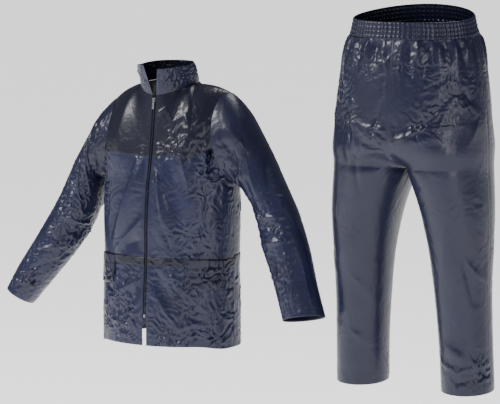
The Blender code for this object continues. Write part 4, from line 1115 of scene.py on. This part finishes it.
def add_collar(stitching):
    start = math.asin((FRONT_EDGE - 0.0010) / NECK_HALF_WIDTH)
    angle = np.linspace(start, math.pi, 130)[None, :] * np.ones((40, 1))
    height = np.linspace(0, 1, 40)[:, None] * np.ones((1, 130))
    right = collar_base(angle, height, -1)
    left = collar_base(angle, height, 1)
    grid = np.concatenate([right, left[:, ::-1][:, 1:]], axis=1)
    out = outward(grid, np.array([0.0, NECK_CENTRE_Y, 0.02]))
    relief = zones_relief(grid, grid[..., 0], grid[..., 2], COLLAR_ZONES, 71)
    relief = relief + creases_relief(grid[..., 0], grid[..., 2], COLLAR_CREASES)
    relief = relief * edge_fade(relief.shape, left=0.015, right=0.015, low=0.15, high=0.06)
    grid = grid + out * relief[..., None]
    out = outward(grid, np.array([0.0, NECK_CENTRE_Y, 0.02]))
    for row in (3, 35):
        stitching.sew(grid[row, 3:-3], out[row, 3:-3])
    shell = np.concatenate([grid, (grid - out * COLLAR_WALL)[::-1]], axis=0)
    facing = np.concatenate([out, -out[::-1]], axis=0)
    tone = np.concatenate([np.full(grid.shape[:2], 0.25), np.ones(grid.shape[:2])], axis=0)
    cloth_piece("jacket_collar", shell[:-1], facing[:-1], tone[:-1])


# Trousers
def gather(u, z):
    depth = BAND_BOTTOM - z
    fade = ease(1.0 - depth / GATHER_REACH) * ease(depth / 0.012 + 0.35)
    return GATHER_HEIGHT * fade * np.sin(2 * math.pi * GATHERS_A_PANEL * u + 3.0 * u * u)


def small_gathers(u, z, seed):
    """Uneven little pleats between the large ones, some long and some short."""
    rng = np.random.default_rng(seed)
    depth = BAND_BOTTOM - z
    relief = np.zeros(np.broadcast(u, z).shape)
    for count in range(SMALL_GATHERS):
        middle = (count + 0.2 + 0.6 * rng.random()) / SMALL_GATHERS
        reach = 0.035 + 0.13 * rng.random() ** 2
        lean = 0.25 * (rng.random() - 0.5)
        width = (0.010 + 0.016 * rng.random()) * (1 + 1.2 * depth / reach)
        height = 0.0030 * (0.5 + rng.random()) * (1 if count % 2 else -0.8)
        fade = ease(1.0 - depth / reach) * ease(depth / 0.006 + 0.3)
        relief += height * fade * np.exp(-np.abs(u - middle - lean * depth) / width)
    return relief


def trouser_heights(count):
    leg = np.linspace(0, 1, int(count * 0.55), endpoint=False)
    fork = np.linspace(1, 2, int(count * 0.17), endpoint=False)
    hip = np.linspace(2, 3, count - len(leg) - len(fork))
    return np.concatenate([leg, fork, hip])


def add_trouser_panel(side, face, side_name, face_name, stitching):
    u = np.linspace(0.0015, 0.9985, TROUSER_COLUMNS)[None, :]
    height = trouser_heights(TROUSER_ROWS)[:, None]
    grid = trouser_base(u, height, face)
    near_steps = np.exp(-(((height - 1.0) / 0.06) ** 2)) + np.exp(-(((height - 2.0) / 0.10) ** 2))
    grid = softened(grid, near_steps * ease(u / 0.1) * ease((1 - u) / 0.05), 40)
    x, z = side * grid[..., 0], grid[..., 2]
    relief = creases_relief(x, z, TROUSER_FOLDS[face]) + gather(u, z)
    relief = relief * ease(u / 0.1) * ease((1 - u) / 0.1) * ease((3.0 - height) / 0.1)
    small = creases_relief(x, z, TROUSER_CREASES[face])
    worn = grid * np.array([side, 1.0, 1.0])
    small = small + zones_relief(worn, x, z, TROUSER_ZONES[face], 200)
    small = small + small_gathers(u * np.ones(x.shape), z, 300 + 10 * side + face)
    relief = relief + small * edge_fade(small.shape, left=0.03, right=0.03, low=0.01, high=0.008, least=0.1)
    grid[..., 0] *= side
    axis = np.array([side * 0.13, 0.0, -0.5])
    grid = grid + outward(grid, axis) * relief[..., None]
    grid = grid + np.array([TROUSER_X, 0.0, WAIST_Z])
    axis = axis + np.array([TROUSER_X, 0.0, WAIST_Z])
    out = outward(grid, axis)
    stitching.sew(*level_path(grid, out, grid[0, :, 2].mean() + 0.028))
    stitching.sew(grid[6:-6, -3], out[6:-6, -3])
    start = int(TROUSER_ROWS * 0.72)
    stitching.sew(grid[start:-6, 3], out[start:-6, 3])
    if face < 0:
        pocket = int(TROUSER_ROWS * 0.80)
        stitching.sew(grid[pocket:-4, int(TROUSER_COLUMNS * 0.93)], out[pocket:-4, int(TROUSER_COLUMNS * 0.93)])
        across = slice(int(TROUSER_COLUMNS * 0.93), TROUSER_COLUMNS - 2)
        stitching.sew(grid[pocket, across], out[pocket, across])
    wide = lapped(grid, out, 0.005, 0.0012)
    wide = lapped(wide[:, ::-1], np.concatenate([out, out[:, -1:]], axis=1)[:, ::-1], 0.005, 0.0012)[:, ::-1]
    wide_out = np.concatenate([out[:, :1], out, out[:, -1:]], axis=1)
    full = turned_in(wide, wide_out, 8, 0.0010)
    facing = np.concatenate([wide_out[8:0:-1], wide_out], axis=0)
    tone = np.full(full.shape[:2], 0.45)
    cloth_piece(
        f"trouser_{face_name}_{side_name}", full, facing, tone
    )


def add_waistband(stitching):
    """The casing, shirred by three rows of elastic into ribs."""
    columns = RIBS * 8
    rows = 26
    angle = np.linspace(0, 2 * math.pi, columns, endpoint=False)[None, :] * np.ones((rows, 1))
    share = np.linspace(0, 1, rows)[:, None] * np.ones((1, columns))
    rng = np.random.default_rng(5)
    jitter = np.interp(angle, np.linspace(0, 2 * math.pi, 60), rng.normal(size=60) * 0.9)
    uneven = np.interp(angle, np.linspace(0, 2 * math.pi, 90), 0.55 + 0.65 * rng.random(90))
    z = mix(BAND_BOTTOM + 0.0004, 0.0, share)
    section = curve(HIPS, z)
    depth = np.where(np.sin(angle) > 0, section.back_depth, section.front_depth)
    puff = np.abs(np.sin(share * math.pi * ELASTIC_ROWS)) ** 0.7
    rib = (0.5 + 0.5 * np.sin(angle * RIBS + jitter + 0.35 * np.sin(share * 9))) ** 0.7
    raised = 0.0002 + uneven * rib * (0.0006 + 0.0016 * puff)
    rim = ease((1 - share) / 0.06) * ease(share / 0.04)
    raised = raised * (0.4 + 0.6 * rim)

    def ring(inset):
        x = (section.half_width + raised - inset) * np.cos(angle)
        y = (depth + raised - inset) * np.sin(angle)
        rise = waist_rise(y, section.front_depth)
        return points(TROUSER_X + x, y, WAIST_Z + z + rise)

    outer, inner = ring(0.0), ring(0.0022)
    shell = np.concatenate([outer, inner[::-1]], axis=0)
    facing = unit(outer - points(TROUSER_X, 0.0, WAIST_Z + z))
    facing = np.concatenate([facing, -facing[::-1]], axis=0)
    tone = np.concatenate([np.full(outer.shape[:2], 0.6), np.ones(outer.shape[:2])], axis=0)
    cloth_piece("waistband", shell, facing, tone, closed=True)


# Zip teeth
def add_teeth(centre_line):
    """The closed teeth: two rows of little loops that mesh on the centre line."""
    z = np.arange(ZIP_BOTTOM_Z + 0.0105, -0.0520, TOOTH_PITCH)
    y = np.interp(z, centre_line[:, 2], centre_line[:, 1])
    slope = np.gradient(y, z)
    up = unit(points(0.0, slope, np.ones(len(z))))
    forward = unit(points(0.0, -np.ones(len(z)), slope))
    across = np.array([1.0, 0.0, 0.0])
    middle = points(0.0, y, z) - forward * 0.0014
    middle[:, 0] += np.where(np.arange(len(z)) % 2, 0.0009, -0.0009)
    corners = []
    for a, b, c in ((-1, -1, -1), (1, -1, -1), (1, 1, -1), (-1, 1, -1), (-1, -1, 1), (1, -1, 1), (1, 1, 1), (-1, 1, 1)):
        narrow = 0.75 if c > 0 else 1.0
        corners.append(
            middle + across * (a * 0.0016 * narrow) + up * (b * TOOTH_PITCH * 0.36 * narrow) + forward * (c * 0.0016)
        )
    vertices = np.stack(corners, axis=1)
    sides = np.array([[4, 5, 6, 7], [3, 2, 1, 0], [0, 1, 5, 4], [1, 2, 6, 5], [2, 3, 7, 6], [3, 0, 4, 7]])
    faces = (np.arange(len(vertices))[:, None, None] * 8 + sides).reshape(-1, 4)
    made = new_mesh("zip_teeth", vertices.reshape(-1, 3), faces, TOOTH_FINISH, smooth=False)
    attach(made, "suit")
    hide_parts("zip_coil")


# Assembly
jacket_thread = Stitching("jacket_stitches")
trouser_thread = Stitching("trouser_stitches")
zip_line = add_body(jacket_thread)
for side, name in ((1, "left"), (-1, "right")):
    add_sleeve(side, name, jacket_thread)
add_collar(jacket_thread)
for side, side_name in ((1, "left"), (-1, "right")):
    for face, face_name in ((-1, "front"), (1, "back")):
        add_trouser_panel(side, face, side_name, face_name, trouser_thread)
add_waistband(trouser_thread)
add_teeth(zip_line)
jacket_thread.finish("coated_cloth")
trouser_thread.finish("coated_cloth")

for node, finish in (
    ("zip_tape_left", TAPE_FINISH),
    ("zip_tape_right", TAPE_FINISH),
    ("zip_box", METAL_FINISH),
    ("zip_slider", METAL_FINISH),
    ("zip_pull", METAL_FINISH),
):
    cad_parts[node].data.materials.clear()
    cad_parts[node].data.materials.append(finish)


# Stage, light and camera
def add_floor():
    corners = np.array([(-60.0, -60.0), (60.0, -60.0), (60.0, 60.0), (-60.0, 60.0)])
    corners = np.concatenate([corners, np.full((4, 1), FLOOR_Z)], axis=1)
    pale = shader_material("floor_look")[0]
    shader = pale.node_tree.nodes["Principled BSDF"]
    shader.inputs["Base Color"].default_value = (0.92, 0.92, 0.92, 1)
    shader.inputs["Roughness"].default_value = 0.9
    shader.inputs["Emission Color"].default_value = (1, 1, 1, 1)
    shader.inputs["Emission Strength"].default_value = FLOOR_GLOW
    new_mesh("floor", corners, np.array([[0, 1, 2, 3]]), pale)


def add_light(name, place, aim, size, energy):
    light = bpy.data.lights.new(name, "AREA")
    light.shape = "RECTANGLE"
    light.size, light.size_y = size
    light.energy = energy
    made = bpy.data.objects.new(name, light)
    made.location = place
    made.rotation_euler = (Vector(aim) - Vector(place)).to_track_quat("-Z", "Y").to_euler()
    bpy.context.scene.collection.objects.link(made)


add_floor()
add_light("key", (-2.6, -3.2, 2.8), (0.2, 0, -0.3), (1.1, 1.4), 230)
add_light("fill", (4.6, -3.6, 0.9), (0.5, 0, -0.3), (0.8, 2.4), 75)
add_light("top", (0.6, 0.9, 3.2), (0.4, 0, 0), (1.6, 1.2), 60)
world = bpy.data.worlds.new("studio")
bpy.context.scene.world = world
world.use_nodes = True
world.node_tree.nodes["Background"].inputs["Color"].default_value = (1, 1, 1, 1)
world.node_tree.nodes["Background"].inputs["Strength"].default_value = 0.16

camera = bpy.data.cameras.new("camera")
camera.lens = 187.2
camera.sensor_width = 36.0
camera.clip_end = 200
shot = bpy.data.objects.new("camera", camera)
shot.location = (3.9126, -6.3152, 0.6071)
shot.rotation_euler = (math.pi / 2 - 0.12755, 0.0, math.radians(30))
bpy.context.scene.collection.objects.link(shot)
bpy.context.scene.camera = shot
